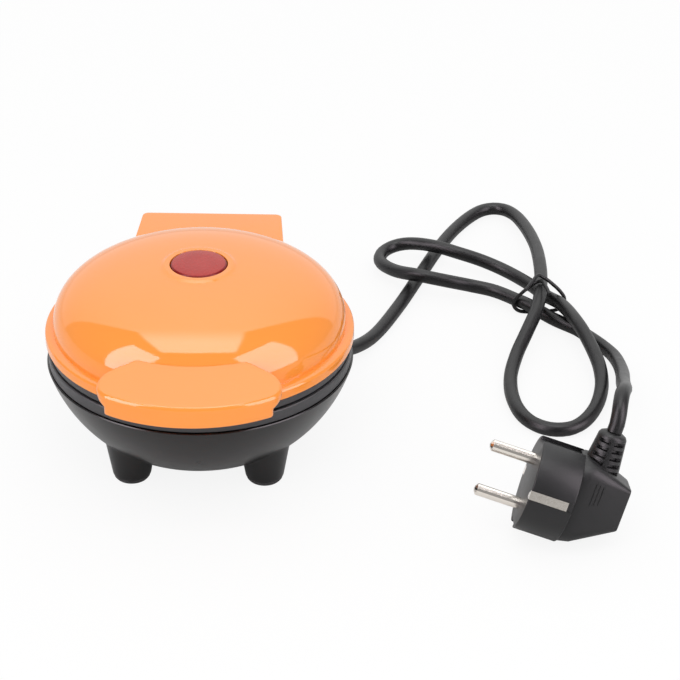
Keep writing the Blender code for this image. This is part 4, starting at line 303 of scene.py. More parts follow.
# %% Floor
FLOOR_WHITE, FLOOR_GLOW, FLOOR_SIZE, FLOOR_TONE = 0.88, 0.02, 6, 0.93


def add_floor():
    """A wide pale floor with a faint shadow, which also glows a little in reflections."""
    shape = bmesh.new()
    bmesh.ops.create_grid(shape, x_segments=1, y_segments=1, size=FLOOR_SIZE)
    mesh = bpy.data.meshes.new("floor")
    shape.to_mesh(mesh)
    shape.free()
    material = bpy.data.materials.new("floor")
    tree = Tree(material)
    matt = tree.node("ShaderNodeBsdfDiffuse", None, (FLOOR_TONE, FLOOR_TONE, FLOOR_TONE, 1))
    path = tree.node("ShaderNodeLightPath")
    mirrored = Field(tree, path.socket.node.outputs["Is Glossy Ray"])
    white = tree.node("ShaderNodeEmission", None, (1, 1, 1, 1), 1.0)
    seen = tree.node("ShaderNodeMixShader", None, path * FLOOR_WHITE, matt, white)
    extra = tree.node("ShaderNodeEmission", None, (1, 1, 1, 1), mirrored * FLOOR_GLOW)
    both = tree.node("ShaderNodeAddShader", None, seen, extra)
    tree.node("ShaderNodeOutputMaterial", None, both)
    mesh.materials.append(material)
    add_object("floor", mesh)


add_floor()
bpy.context.scene.view_settings.view_transform = "Standard"

# %% [markdown]
# ## Finishes
# Every finish is a Principled shader whose colour, roughness and fine relief come from noise on
# the piece's own coordinates, at the scale of the real thing: mould texture is a few tenths of
# a millimetre, wear marks are a few millimetres.

# %% A finish under construction
class Finish(Tree):
    """A material with one Principled shader and helpers for what plastic and metal need."""

    def __init__(self, name, roughness, metallic=0, **constants):
        self.material = bpy.data.materials.new(name)
        super().__init__(self.material, clear=False)
        self.shader = self.nodes["Principled BSDF"]
        self.shader.inputs["Roughness"].default_value = roughness
        self.shader.inputs["Metallic"].default_value = metallic
        for socket, value in constants.items():
            self.shader.inputs[socket.replace("_", " ")].default_value = value
        coords = self.nodes.new("ShaderNodeTexCoord")
        self.place = Field(self, coords.outputs["Object"])

    def noise(self, size, detail=2, stretch=None):
        """Noise from 0 to 1 with features of a size in metres, drawn out along an axis if asked."""
        place = self.place
        if stretch:
            place = self.node("ShaderNodeMapping", {"vector_type": "POINT"}, Vector=place, Scale=stretch)
        return self.node("ShaderNodeTexNoise", None, Vector=place, Scale=1 / size, Detail=detail)

    def coat(self, colour, roughness, relief=None, depth=0):
        """Link what varies over the surface and give the material. The depth is in metres."""
        links = {"Base Color": colour, "Roughness": roughness}
        if relief:
            links["Normal"] = self.node("ShaderNodeBump", None, Height=relief, Distance=depth, Strength=1.0)
        for socket, field in links.items():
            self.links.new(field.socket, self.shader.inputs[socket])
        return self.material


# %% [markdown]
# ### Orange gloss
# The lid, handle and hinge cover are polished moulded plastic. Its colour drifts faintly where
# the melt flowed, and its skin has a very shallow ripple that only shows in reflections.

# %% Orange gloss
def orange_gloss():
    paint = Finish("orange_gloss", 0.1)
    drift = paint.noise(28 * MM, 1)
    tone = paint.mix(drift, (0.98, 0.300, 0.045), (0.97, 0.315, 0.051))
    return paint.coat(tone, 0.045 + 0.04 * paint.noise(3 * MM, 3), paint.noise(6 * MM, 1), 0.008 * MM)


# %% [markdown]
# ### Dark plastics
# The bowl is a satin black moulding, the two rings are greyer and rougher. The cord is covered
# with smooth PVC, and the plug is a harder PVC.

# %% Dark plastics
def moulded_plastic(name, colours, roughness, grain, depth, spread=0.10, shine=0.5):
    """Plastic with mould grain, a drift between two tones and patches where hands polish it."""
    paint = Finish(name, roughness, Specular_IOR_Level=shine)
    tone = paint.mix(paint.noise(12 * MM, 3), *colours)
    worn = roughness - spread / 2 + spread * paint.noise(5 * MM, 3)
    return paint.coat(tone, worn, paint.noise(grain, 3), depth)


def rubber():
    paint = Finish("rubber", 0.8)
    dust = paint.noise(1.5 * MM, 4).between(0.52, 0.72)
    tone = paint.mix(dust, (0.012, 0.012, 0.012), (0.045, 0.043, 0.04))
    return paint.coat(tone, 0.68 + 0.2 * dust, paint.noise(0.5 * MM, 3), 0.04 * MM)


# %% [markdown]
# ### Metals
# Nickel on the plug's pins is bright, with faint marks from plugging in. The plates have a
# sprayed skin with a fine pebble and a few pale specks.

# %% Metals
def metal(name, colours, roughness, stretch=(1, 1, 1), grain=0.6 * MM, depth=0.006 * MM):
    """Bare or plated metal with fine marks that may run one way."""
    paint = Finish(name, roughness, 1.0)
    marks = paint.noise(grain, 4, stretch)
    return paint.coat(paint.mix(marks, *colours), roughness * (0.7 + 0.6 * marks), marks, depth)


def nonstick():
    paint = Finish("nonstick", 0.42)
    speck = paint.noise(0.35 * MM, 1).between(0.66, 0.74)
    tone = paint.mix(speck, (0.018, 0.018, 0.019), (0.085, 0.085, 0.088))
    return paint.coat(tone, 0.36 + 0.14 * paint.noise(4 * MM, 2), paint.noise(0.45 * MM, 2), 0.03 * MM)


# %% [markdown]
# ### Lamp, ceramic and sleeve
# The lens is a flat red disc whose edge ring is painted shade: a darker red where the thin
# shadow line round it falls. Ceramic and woven glass sleeve are matt and off-white.

# %% Lamp, ceramic and sleeve
def red_lens():
    paint = Finish("red_lens", 0.25, Specular_IOR_Level=0.28)
    x, y, z = paint.parts(paint.place)
    y = y - BOWL_AXIS.translation.y
    # Painted shade: the ring at the lens's edge is darkened for the thin shadow line that falls there.
    edge = x.node("SQRT", x * x + y * y).between(10.5 * MM, 11.1 * MM)
    middle = paint.mix(paint.noise(7 * MM, 2), (0.36, 0.018, 0.014), (0.46, 0.034, 0.026))
    return paint.coat(paint.mix(edge, middle, (0.20, 0.0, 0.0)), 0.22 + 0.1 * paint.noise(2 * MM, 2))


def pale_matt(name, colours, grain, depth):
    """Ceramic, pale plastic or woven sleeve."""
    paint = Finish(name, 0.7)
    grains = paint.noise(grain, 3)
    return paint.coat(paint.mix(grains, *colours), 0.6 + 0.25 * grains, grains, depth)


def lamp_glass():
    paint = Finish("lamp_glass", 0.06, Transmission_Weight=0.6)
    tone = paint.mix(paint.noise(2 * MM, 1), (0.9, 0.5, 0.3), (0.95, 0.62, 0.42))
    return paint.coat(tone, 0.05 + 0.05 * paint.noise(1 * MM, 1))


BOWL_TONES = (0.0042, 0.0036, 0.0038), (0.0060, 0.0052, 0.0055)
RING_TONES = (0.030, 0.030, 0.032), (0.042, 0.042, 0.045)
CORD_TONES = (0.0030, 0.0030, 0.0033), (0.0060, 0.0060, 0.0064)
PLUG_TONES = (0.0070, 0.0070, 0.0074), (0.0110, 0.0110, 0.0116)
CERAMIC_TONES = (0.70, 0.68, 0.62), (0.80, 0.78, 0.72)
WHITE_TONES = (0.66, 0.66, 0.64), (0.74, 0.74, 0.72)
SLEEVE_TONES = (0.46, 0.44, 0.40), (0.74, 0.72, 0.66)
NICKEL_TONES = (0.66, 0.61, 0.55), (0.78, 0.74, 0.69)
STEEL_TONES = (0.40, 0.40, 0.41), (0.55, 0.55, 0.56)
ALUMINIUM_TONES = (0.62, 0.62, 0.63), (0.76, 0.76, 0.77)
FINISHES = {
    "orange_gloss": orange_gloss(),
    "black_gloss": moulded_plastic("black_satin", BOWL_TONES, 0.25, 0.3 * MM, 0.0015 * MM, shine=0.40),
    "dark_grey": moulded_plastic("dark_grey", RING_TONES, 0.45, 0.3 * MM, 0.02 * MM),
    "nonstick": nonstick(),
    "rubber": rubber(),
    "cord_black": moulded_plastic("cord_black", CORD_TONES, 0.40, 0.5 * MM, 0.01 * MM, 0.16, 0.32),
    "plug_black": moulded_plastic("plug_black", PLUG_TONES, 0.42, 0.25 * MM, 0.03 * MM, shine=0.35),
    "nickel": metal("nickel", NICKEL_TONES, 0.16, grain=0.8 * MM),
    "steel": metal("steel", STEEL_TONES, 0.32),
    "aluminium": metal("aluminium", ALUMINIUM_TONES, 0.30, (1, 12, 1)),
    "red_lens": red_lens(),
    "white_ceramic": pale_matt("white_ceramic", CERAMIC_TONES, 0.4 * MM, 0.03 * MM),
    "white_plastic": pale_matt("white_plastic", WHITE_TONES, 1.5 * MM, 0.01 * MM),
    "sleeve_white": pale_matt("sleeve_white", SLEEVE_TONES, 0.5 * MM, 0.15 * MM),
    "lamp_glass": lamp_glass(),
}

# %% [markdown]
# Every CAD node gets the finish of its slot. The pieces made below replace some of the nodes.

# %% Finishes on the CAD nodes
SLOTS = {row["node"]: row["material_slot"] for row in frame["record"]["subparts"]}
for name, node in frame["nodes"].items():
    node.data.materials.clear()
    node.data.materials.append(FINISHES[SLOTS[name]])

# %% [markdown]
# ## Making pieces
# Most of this object is turned, so the main tool is a profile spun round an axis. A profile is
# a row of (radius, height) points in millimetres; a third number rounds that corner, because
# on plastic it is the corners that catch the light.

# %% Profiles
def corner_points(before, corner, after, radius, steps):
    """Points of an arc that rounds a corner."""
    before, corner, after = [Vector((*point[:2], 0)) for point in (before, corner, after)]
    into, away = before - corner, after - corner
    half = into.angle(away) / 2
    reach = min(radius / math.tan(half), into.length * 0.49, away.length * 0.49)
    hold = reach * (1 - 4 / 3 * math.tan((math.pi / 2 - half) / 2) * math.tan(half))
    into.normalize()
    away.normalize()
    bend = interpolate_bezier(corner + into * reach, corner + into * hold, corner + away * hold,
                              corner + away * reach, steps + 1)
    return [(point.x, point.y) for point in bend]


def rounded(points, closed=False, steps=4):
    """A profile whose corners with a third number are rounded by that radius."""
    made = []
    count = len(points)
    for i, point in enumerate(points):
        if len(point) == 2 or (not closed and i in (0, count - 1)):
            made.append(tuple(point[:2]))
            continue
        made += corner_points(points[i - 1], point, points[(i + 1) % count], point[2], steps)
    return made


def turn(shape, profile, steps=128, place=Matrix.Identity(4), closed=False):
    """Spin a profile in millimetres round the upright axis and set it in its place."""
    verts = [shape.verts.new((radius * MM, 0, height * MM)) for radius, height in profile]
    edges = [shape.edges.new(pair) for pair in zip(verts, verts[1:])]
    if closed:
        edges.append(shape.edges.new((verts[-1], verts[0])))
    known = set(shape.verts) - set(verts)
    bmesh.ops.spin(shape, geom=verts + edges, cent=(0, 0, 0), axis=(0, 0, 1), angle=math.tau, steps=steps,
                   use_merge=True)
    bmesh.ops.remove_doubles(shape, verts=list(set(shape.verts) - known), dist=0.001 * MM)
    made = [vert for vert in shape.verts if vert not in known]
    bmesh.ops.transform(shape, matrix=place, verts=made)
    return made


# %% Pieces
def settle(piece, slot, body, node):
    """Give a piece its finish and its body, in place of a CAD node."""
    piece.data.materials.append(FINISHES[slot])
    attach(piece, body)
    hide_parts(node)


def add_piece(name, shape, slot, body, node, sharp_deg=40):
    """Finish a piece: weld it, face it outwards and shade it, and let it ride on its body."""
    bmesh.ops.remove_doubles(shape, verts=shape.verts, dist=0.0005 * MM)
    bmesh.ops.recalc_face_normals(shape, faces=shape.faces)
    mesh = bpy.data.meshes.new(name)
    shape.to_mesh(mesh)
    shape.free()
    mesh.shade_smooth()
    mesh.set_sharp_from_angle(angle=math.radians(sharp_deg))
    settle(add_object(name, mesh), slot, body, node)
    print(name, len(mesh.polygons), "faces")


def turned_piece(name, profile, slot, body, node, steps=128, place=BOWL_AXIS, closed=False):
    """A piece that is one turned profile."""
    shape = bmesh.new()
    turn(shape, profile, steps, place, closed)
    add_piece(name, shape, slot, body, node)


def soften(shape, edges, width, segments):
    """Round edges off by a width in millimetres, and give the new vertices."""
    return bmesh.ops.bevel(shape, geom=list(edges), offset=width * MM, affect="EDGES", segments=segments,
                           profile=0.5, material=-1)["verts"]


def slab(shape, outline, low, high, place, soft=0.0, segments=3):
    """An outline in millimetres drawn up between two heights, with its edges softened."""
    base = [shape.verts.new((x * MM, y * MM, low * MM)) for x, y in outline]
    face = shape.faces.new(base)
    grown = bmesh.ops.extrude_face_region(shape, geom=[face])["geom"]
    top = [item for item in grown if isinstance(item, bmesh.types.BMVert)]
    bmesh.ops.translate(shape, vec=(0, 0, (high - low) * MM), verts=top)
    verts = base + top
    if soft:
        faces = {item for vert in verts for item in vert.link_faces}
        flat = [item for item in faces if len(item.verts) == len(outline)]
        made = soften(shape, {edge for item in flat for edge in item.edges}, soft, segments)
        verts = list({vert for vert in verts if vert.is_valid}.union(made))
    bmesh.ops.transform(shape, matrix=place, verts=verts)
    return verts


def arc(centre, radius, start_deg, end_deg, steps):
    """Points on an arc, both ends included."""
    angles = [math.radians(start_deg + (end_deg - start_deg) * i / steps) for i in range(steps + 1)]
    return [(centre[0] + radius * math.cos(angle), centre[1] + radius * math.sin(angle)) for angle in angles]


SIDEWAYS = Matrix(((0, 0, 1, 0), (1, 0, 0, 0), (0, 1, 0, 0), (0, 0, 0, 1)))
SIDE_VIEW = BOWL_AXIS @ SIDEWAYS

# %% [markdown]
# ## Cord, gland and tie
# The cord is a curve with a round bevel. Its strain relief is a turned taper with ring
# grooves, and the tie is a thin covered wire wound once round the crossing strands.

# %% Cord
def add_curve(name, points, radius, slot, body, node, resolution=5):
    """A round tube along a row of points."""
    data = bpy.data.curves.new(name, "CURVE")
    data.dimensions = "3D"
    data.bevel_depth = radius
    data.bevel_resolution = resolution
    data.use_fill_caps = True
    spline = data.splines.new("POLY")
    spline.points.add(len(points) - 1)
    for point, place in zip(spline.points, points):
        point.co = (*place, 1)
    spline.use_smooth = True
    tube = add_object(name, data)
    settle(tube, slot, body, node)
    return tube


cord = add_curve("cord_smooth", CORD_PATH, CORD_RADIUS, "cord_black", "base", "mains_cord")

# %% Tie
TIE_ROUTE = (
    (153, 99.5, 18.2), (151.6, 105.5, 19), (149.9, 111.9, 18.2), (146.3, 112, 16.4), (139.8, 112.2, 9.7),
    (137.8, 112.4, 5.7), (139.2, 112.6, 2.7), (142.2, 112.8, 1.3), (150, 113.1, 1.35), (157.7, 113.4, 2.1),
    (160.4, 113.6, 4), (161.6, 113.8, 7.6), (159.4, 114, 11.6), (154, 114.2, 16.8), (151.4, 114.3, 18.6),
    (148.6, 113.3, 20.5), (145.8, 108.2, 20.2), (142.2, 102.4, 18.6),
)
tie_path, _ = smooth_points([BOWL_AXIS @ (Vector(point) * MM) for point in TIE_ROUTE], 1.0 * MM)
add_curve("tie_wire", tie_path, 0.85 * MM, "cord_black", "base", "twist_tie", resolution=3)

# %% Gland
ALONG_X = Matrix.Rotation(math.pi / 2, 4, "Y")


def gland_profile():
    """Half the strain relief: ribbed taper, collar, neck in the wall, inner collar, stub."""
    points = [(0, 24.3), (3.75, 24.3, 0.5)]
    for i in range(6):
        low = 20.6 - 3.0 * i
        radius = 3.95 + 0.13 * i
        points += [(radius, low + 1.1, 0.25), (radius - 0.8, low + 0.9, 0.2), (radius - 0.8, low, 0.2),
                   (radius + 0.05, low - 0.2, 0.25)]
    points += [(4.6, 1.8, 0.4), (5.0, 1.75, 0.3), (5.0, 0, 0.2), (3.9, 0), (3.9, -2.75), (5.0, -2.8, 0.3),
               (5.0, -4.6, 0.3), (3.1, -4.6, 0.3), (3.1, -13.6), (0, -13.6)]
    return rounded(points, steps=3)


gland_place = BOWL_AXIS @ at(22.3, 58, 14.5) @ ALONG_X
turned_piece("gland_ribbed", gland_profile(), "cord_black", "base", "cord_gland", steps=48, place=gland_place)

# %% [markdown]
# ## Lid
# The lid is one moulding: a dome, a step down to a flange, and a low collar round the lamp.
# The dome is a superellipse, flatter on top and fuller at the shoulder than a ball. Outside and
# inside are turned together as a real wall. The two hinge arms are drawn from their side view.

# %% Lid
DOME_RADIUS, DOME_EAVES, DOME_RISE, DOME_POWER = 60.2, 58.4, 26.5, 2.45


def dome_height(radius):
    """Height of the dome at a radius, in millimetres."""
    share = min(radius / DOME_RADIUS, 1)
    return DOME_EAVES + DOME_RISE * (1 - share ** DOME_POWER) ** (1 / DOME_POWER)


def dome_profile(start, shrink=0.0, steps=44):
    """The dome from a radius down to its eaves, thinner by a wall if asked."""
    points = []
    for i in range(steps + 1):
        angle = math.pi / 2 * i / steps
        radius = (DOME_RADIUS - shrink) * math.sin(angle) ** (2 / DOME_POWER)
        height = DOME_EAVES + (DOME_RISE - shrink) * max(math.cos(angle), 0) ** (2 / DOME_POWER)
        if radius > start:
            points.append((radius, height))
    return points


def lid_profile():
    """The lid's wall as a closed loop, from the lamp's hole out, down and back inside."""
    top = dome_height(14.0) + 0.8
    collar = [(11.8, top - 0.6), (11.8, top, 0.35), (14.0, top - 0.02, 0.8),
              (15.4, dome_height(15.4) + 0.12, 1.0), (16.6, dome_height(16.6))]
    outside = dome_profile(17.0)
    flange = [(60.2, 58.25, 0.25), (61.4, 58.15), (62.9, 57.7, 0.7), (63.45, 57.0, 0.6), (63.5, 53.75, 0.3),
              (63.2, 53.4, 0.2), (61.2, 53.4, 0.2), (61.1, 55.8, 0.4), (57.8, 55.8, 0.4)]
    inside = dome_profile(15.2, shrink=2.4, steps=20)[::-1]
    end = [(13.9, inside[-1][1] + 0.1), (11.8, inside[-1][1] + 0.1)]
    return rounded(collar) + outside + rounded([outside[-1]] + flange + [inside[0]])[1:-1] + inside + end


ARM_OUTLINE = [(57.5, 57.2)] + arc((76, 51.5), 5.2, 80, -190, 26) + [(68.8, 53.7), (57.5, 53.7)]
ARM_START, ARM_END = 21, 27

lid = bmesh.new()
turn(lid, lid_profile(), 160, BOWL_AXIS, closed=True)
for left in (-ARM_END, ARM_START):
    slab(lid, ARM_OUTLINE, left, left + ARM_END - ARM_START, SIDE_VIEW, 0.5)
add_piece("lid_dome", lid, "orange_gloss", "lid", "lid_shell")

# %% [markdown]
# ## Lamp
# A red disc in the middle of the lid. Its face is nearly flat, and its edge lies in a thin
# shadow line, which is painted shade in the lens's colour.

# %% Lamp
def lens_profile():
    """The lens from the middle of its face to its flange and back under."""
    top = dome_height(14.0) + 0.8
    points = [(0, top + 0.60), (6, top + 0.56), (9.9, top + 0.44), (10.9, top + 0.22, 0.4),
              (11.45, top - 0.25, 0.3), (11.5, 81.0), (13.6, 81.0, 0.2), (13.6, 80.0, 0.2), (9.9, 80.0),
              (9.9, 82.6, 0.5), (0, 83.6)]
    return rounded(points)


turned_piece("lamp_face", lens_profile(), "red_lens", "lid", "lamp_lens", steps=96)

# %% [markdown]
# ## Bowl
# The bowl is a satin black moulding: its side falls almost straight at the rim and sweeps in
# to a flat floor. Each of its four feet is a turned cup whose top is moved on to the bowl, so
# there is no gap.

# %% Bowl
BOWL_SIDE = ((63.3, 43.2), (57.6, 24.2), (42.6, 9), (33, 9))
BOWL_WALL, BLEND, SKIN_LIFT = 2.2, 0.9 * MM, 0.15 * MM


def bowl_curve(inset=0.0, count=48):
    """The bowl's side from its rim to its floor, in millimetres."""
    points = interpolate_bezier(*[Vector((*point, 0)) for point in BOWL_SIDE], count)
    made = []
    for i, point in enumerate(points):
        along = (points[min(i + 1, count - 1)] - points[max(i - 1, 0)]).normalized()
        made.append((point.x + along.y * inset, point.y - along.x * inset))
    return made


def bowl_profile():
    """The bowl's wall, outside and inside."""
    outside, inside = bowl_curve(), bowl_curve(BOWL_WALL, 24)
    rim = rounded([(inside[0][0], 43.2), (inside[0][0], 43.6, 0.2), (63.0, 43.6, 0.3), outside[0]])
    return [(0, 11.2)] + inside[::-1] + rim[1:-1] + outside + [(0, 9.0)]


def bowl_height(radius):
    """Height of the bowl's outside at a radius."""
    curve = bowl_curve()
    if radius <= curve[-1][0]:
        return curve[-1][1]
    for (outer, high), (inner, low) in zip(curve, curve[1:]):
        if inner <= radius <= outer:
            return low + (high - low) * (radius - inner) / (outer - inner)
    return curve[0][1]


LEG, LEG_END, LEG_TOP, LEG_RADIUS, LEG_FLARE = 27.4, 2.3, 22.0, 7.9, 3.3
FOOT_PLACES = {"front_left": (-LEG, -LEG), "front_right": (LEG, -LEG), "rear_left": (-LEG, LEG),
               "rear_right": (LEG, LEG)}


def foot_profile():
    """A foot's outside from its end to far above the bowl's skin."""
    shares = [i / 40 for i in range(1, 41)]
    side = [(LEG_RADIUS + LEG_FLARE * share, LEG_END + (LEG_TOP - LEG_END) * share) for share in shares]
    return rounded([(0, LEG_END), (7.85, LEG_END, 0.3), side[0]]) + side


def add_feet(shape):
    """Four feet, each with its top laid on the bowl."""
    for x, y in FOOT_PLACES.values():
        verts = turn(shape, foot_profile(), 64, at(x, y))
        for vert in verts:
            skin = bowl_height(math.hypot(vert.co.x, vert.co.y) / MM) * MM
            mixed = max(BLEND - abs(vert.co.z - skin), 0) / BLEND
            vert.co.z = min(vert.co.z, skin + SKIN_LIFT) - mixed * mixed * BLEND / 4
        bmesh.ops.transform(shape, matrix=BOWL_AXIS, verts=verts)


HOUSING_HALF_WIDTH, HOUSING_BACK, HOUSING_SOFT, HOUSING_CORNER = 22, 79.4, 1.6, math.radians(25)
KNUCKLE_START, KNUCKLE_END, PIVOT, PIVOT_RADIUS = 13, 20.5, (76, 51.5), 5.2
HOUSING_OUTLINE = [(40, 12), (50, 7), (74.5, 7), (78.5, 11), (80, 46), (63.2, 46), (62.9, 43.9), (40, 43)]
KNUCKLE_OUTLINE = arc(PIVOT, PIVOT_RADIUS, 0, 180, 18) + [(70.8, 45), (81.2, 45)]


def add_housing(shape):
    """The hinge housing behind the bowl, with its two knuckles."""
    verts = slab(shape, HOUSING_OUTLINE, -HOUSING_HALF_WIDTH, HOUSING_HALF_WIDTH, SIDE_VIEW)
    edges = {edge for vert in verts for edge in vert.link_edges if edge.calc_face_angle(0) > HOUSING_CORNER}
    soften(shape, edges, HOUSING_SOFT, 5)
    knuckle = [(min(y, HOUSING_BACK), z) for y, z in KNUCKLE_OUTLINE]
    for left in (-KNUCKLE_END, KNUCKLE_START):
        slab(shape, knuckle, left, left + KNUCKLE_END - KNUCKLE_START, SIDE_VIEW, 0.4)


bowl = bmesh.new()
turn(bowl, bowl_profile(), 160, BOWL_AXIS)
add_feet(bowl)
add_housing(bowl)
add_piece("bowl_smooth", bowl, "black_gloss", "base", "base_shell")

# %% [markdown]
# ## Foot pads and rings
# Soft pads close the feet. The two rings between bowl and lid are plain turned bands: the
# upper one belongs to the lid, and the dark line between them is where the maker opens.

# %% Foot pads and rings
PAD_PROFILE = rounded([(0, 6.5), (2.5, 6.5), (2.5, 2.0), (7.2, 2.0, 0.2), (7.4, 1.2), (6.5, 0.0, 1.2),
                       (0, 0)])
for corner, (x, y) in FOOT_PLACES.items():
    place = BOWL_AXIS @ at(x, y)
    turned_piece("pad_" + corner, PAD_PROFILE, "rubber", "base", "foot_pad_" + corner, steps=48, place=place)

BASE_BAND = [(62.6, 48.3, 0.4), (62.6, 43.9, 0.25), (58.2, 43.9, 0.2), (58.2, 45.6, 0.2), (60.8, 45.6, 0.2),
             (60.8, 48.6, 0.3), (62.2, 48.6, 0.3)]
LID_BAND = [(62.0, 53.1, 0.2), (62.0, 49.5, 0.35), (60.8, 49.5, 0.2), (60.8, 52.5, 0.2), (58.4, 52.5, 0.2),
            (58.4, 55.3, 0.2), (60.8, 55.3, 0.2), (60.8, 53.1, 0.2)]
turned_piece("base_band", rounded(BASE_BAND, True), "dark_grey", "base", "base_ring", closed=True, steps=160)
turned_piece("lid_band", rounded(LID_BAND, True), "dark_grey", "lid", "lid_ring", closed=True, steps=160)

# %% [markdown]
# ## Handle
# The handle is a hollow bean with a sloping, crowned top. Its round ends flow down to a narrower
# wall, and its back follows the dome. So it is lofted: one outline of arcs changes its sizes level
# by level, and the outlines are joined into rings. A grid closes the top and the ceiling inside.

# %% Loft
def add_ring(shape, points):
    """The vertices of one closed outline of (x, y, z) points in millimetres."""
    return [shape.verts.new(Vector(point) * MM) for point in points]


def join_rings(shape, rings, closed=False):
    """Faces between each ring and the next, and over both ends if asked."""
    for lower, upper in zip(rings, rings[1:]):
        for i in range(len(lower)):
            j = (i + 1) % len(lower)
            shape.faces.new((lower[i], lower[j], upper[j], upper[i]))
    if closed:
        shape.faces.new(rings[0])
        shape.faces.new(rings[-1])


def close_ring(shape, ring, rows, height):
    """Close a long ring with a grid of rows between its front half and its back half."""
    half = len(ring) // 2
    front, back = ring[1:half], ring[:half:-1]
    lines = [[near] for near in front]
    for line, far in zip(lines, back):
        for i in range(1, rows):
            point = line[0].co.lerp(far.co, i / rows)
            point.z = height(point.x, point.y)
            line.append(shape.verts.new(point))
        line.append(far)
    for a, b in zip(lines, lines[1:]):
        for i in range(rows):
            shape.faces.new((a[i], b[i], b[i + 1], a[i + 1]))
    for tip, line in ((ring[0], lines[0]), (ring[half], lines[-1])):
        for i in range(rows):
            shape.faces.new((tip, line[i], line[i + 1]))


# %% Handle levels
HANDLE_FRONT, FRONT_ARC, HALF_WIDTH, END_RADIUS, HORN_X = 80.4, 61, 35.9, 8.6, 21.2
SKIRT_HALF_WIDTH, SKIRT_END_RADIUS, SKIRT_HORN_X = 32.6, 2.2, 31.0
FLANGE_TOP, FLANGE_EDGE = 58.2, 63.55
TOP_HEIGHT, TOP_BACK, TOP_SLOPE, TOP_CROWN = 71 * MM, 56 * MM, math.radians(12), 240 * MM
TOP_SOFT, HORN_ROUND, BACK_RADIUS = 1.4, 1.8, 56.0
FLARE = ((0.35, 0.03), (0.55, 0.12), (0.72, 0.30), (0.85, 0.55), (0.95, 0.82), (1.0, 0.97))
SKIRT_TOP = 60.4
SKIRT_LEVELS = ((59.4, 0.0), (57.5, 0.0), (57.15, 0.15), (57.0, 0.5), (57.0, 2.2), (57.3, 2.4), (63.0, 2.4))


def lid_radius(height):
    """Radius of the lid's outside at a height."""
    if height < FLANGE_TOP:
        return FLANGE_EDGE
    rise = min(max((height - DOME_EAVES) / DOME_RISE, 0), 1)
    return DOME_RADIUS * (1 - rise ** DOME_POWER) ** (1 / DOME_POWER)


def bean(inset, level, inner):
    """One level's outline. Level runs from 0, the cap, to 1, the skirt. Inner is the back's radius."""
    half = HALF_WIDTH + (SKIRT_HALF_WIDTH - HALF_WIDTH) * level
    turned = END_RADIUS + (SKIRT_END_RADIUS - END_RADIUS) * level
    horn_x = HORN_X + (SKIRT_HORN_X - HORN_X) * level
    centre = FRONT_ARC - HANDLE_FRONT
    end_x = half - turned
    end_y = centre - math.sqrt((FRONT_ARC - turned) ** 2 - end_x ** 2)
    horn_y = -math.sqrt(inner ** 2 - horn_x ** 2) - HORN_ROUND
    away = Vector((horn_x - end_x, horn_y - end_y))
    meets = math.degrees(math.atan2(end_y - centre, end_x))
    leaves = math.degrees(math.atan2(away.y, away.x) - math.acos((turned - HORN_ROUND) / away.length))
    small, tight = max(turned - inset, 0.1), max(HORN_ROUND - inset, 0.1)
    down = arc((end_x, end_y), small, 0, meets, 8)
    front = arc((0, centre), FRONT_ARC - inset, meets, -180 - meets, 40)[1:-1]
    up = arc((end_x, end_y), small, 0, leaves, 8)[1:]
    horn = arc((horn_x, horn_y), tight, leaves, 115, 5)
    side = [tuple(Vector(up[-1]).lerp(Vector(horn[0]), i / 4)) for i in range(1, 4)]
    begin = math.degrees(math.atan2(horn[-1][1], horn[-1][0]))
    across = arc((0, 0), Vector(horn[-1]).length, begin, -180 - begin, 22)[1:-1]
    right = up + side + horn
    turned_back = [(-x, y) for x, y in down[::-1]] + [(-x, y) for x, y in right + across]
    return down + front + turned_back + right[::-1]


def handle_top(x, y):
    """Height of the handle's top, in metres."""
    return TOP_HEIGHT + math.tan(TOP_SLOPE) * (y + TOP_BACK) - x * x / (2 * TOP_CROWN)


def cap_ring(inset, drop):
    """A ring that follows the sloping top at a distance under it."""
    outline = bean(inset, 0, BACK_RADIUS)
    return [(x, y, handle_top(x * MM, y * MM) / MM - drop) for x, y in outline]


def wall_ring(height, level, inset=0.0, blend=1.0):
    """A level ring, or one between the sloping top's edge and that height."""
    outline = bean(inset, level, lid_radius(height) + inset * 0.4)
    edge = [handle_top(x * MM, y * MM) / MM - TOP_SOFT for x, y in outline]
    return [(x, y, min(top, top + (height - top) * blend)) for (x, y), top in zip(outline, edge)]


def handle_rings():
    """The rings from the top's edge down the outside, round the lower edge and up the inside."""
    rings = []
    for i in range(6):
        angle = math.radians(18 * i)
        rings.append(cap_ring(TOP_SOFT * (1 - math.sin(angle)), TOP_SOFT * (1 - math.cos(angle))))
    rings += [wall_ring(SKIRT_TOP, level, blend=share) for share, level in FLARE]
    return rings + [wall_ring(height, 1.0, inset) for height, inset in SKIRT_LEVELS]


handle = bmesh.new()
rings = [add_ring(handle, ring) for ring in handle_rings()]
join_rings(handle, rings)
close_ring(handle, rings[0], 8, handle_top)
close_ring(handle, rings[-1], 4, lambda x, y: min(handle_top(x, y) - 3 * MM, 66 * MM))
bmesh.ops.transform(handle, matrix=BOWL_AXIS, verts=handle.verts)
add_piece("handle_bean", handle, "orange_gloss", "lid", "handle", sharp_deg=50)

# %% [markdown]
# ## Plug
# The plug is one soft moulding: a drum with a guide groove on two sides and a slot for each earth
# clip, a hood that tapers to the back, and a neck towards the cord with two ladders of slots. Its
# own frame has X into the body and Y along the neck.

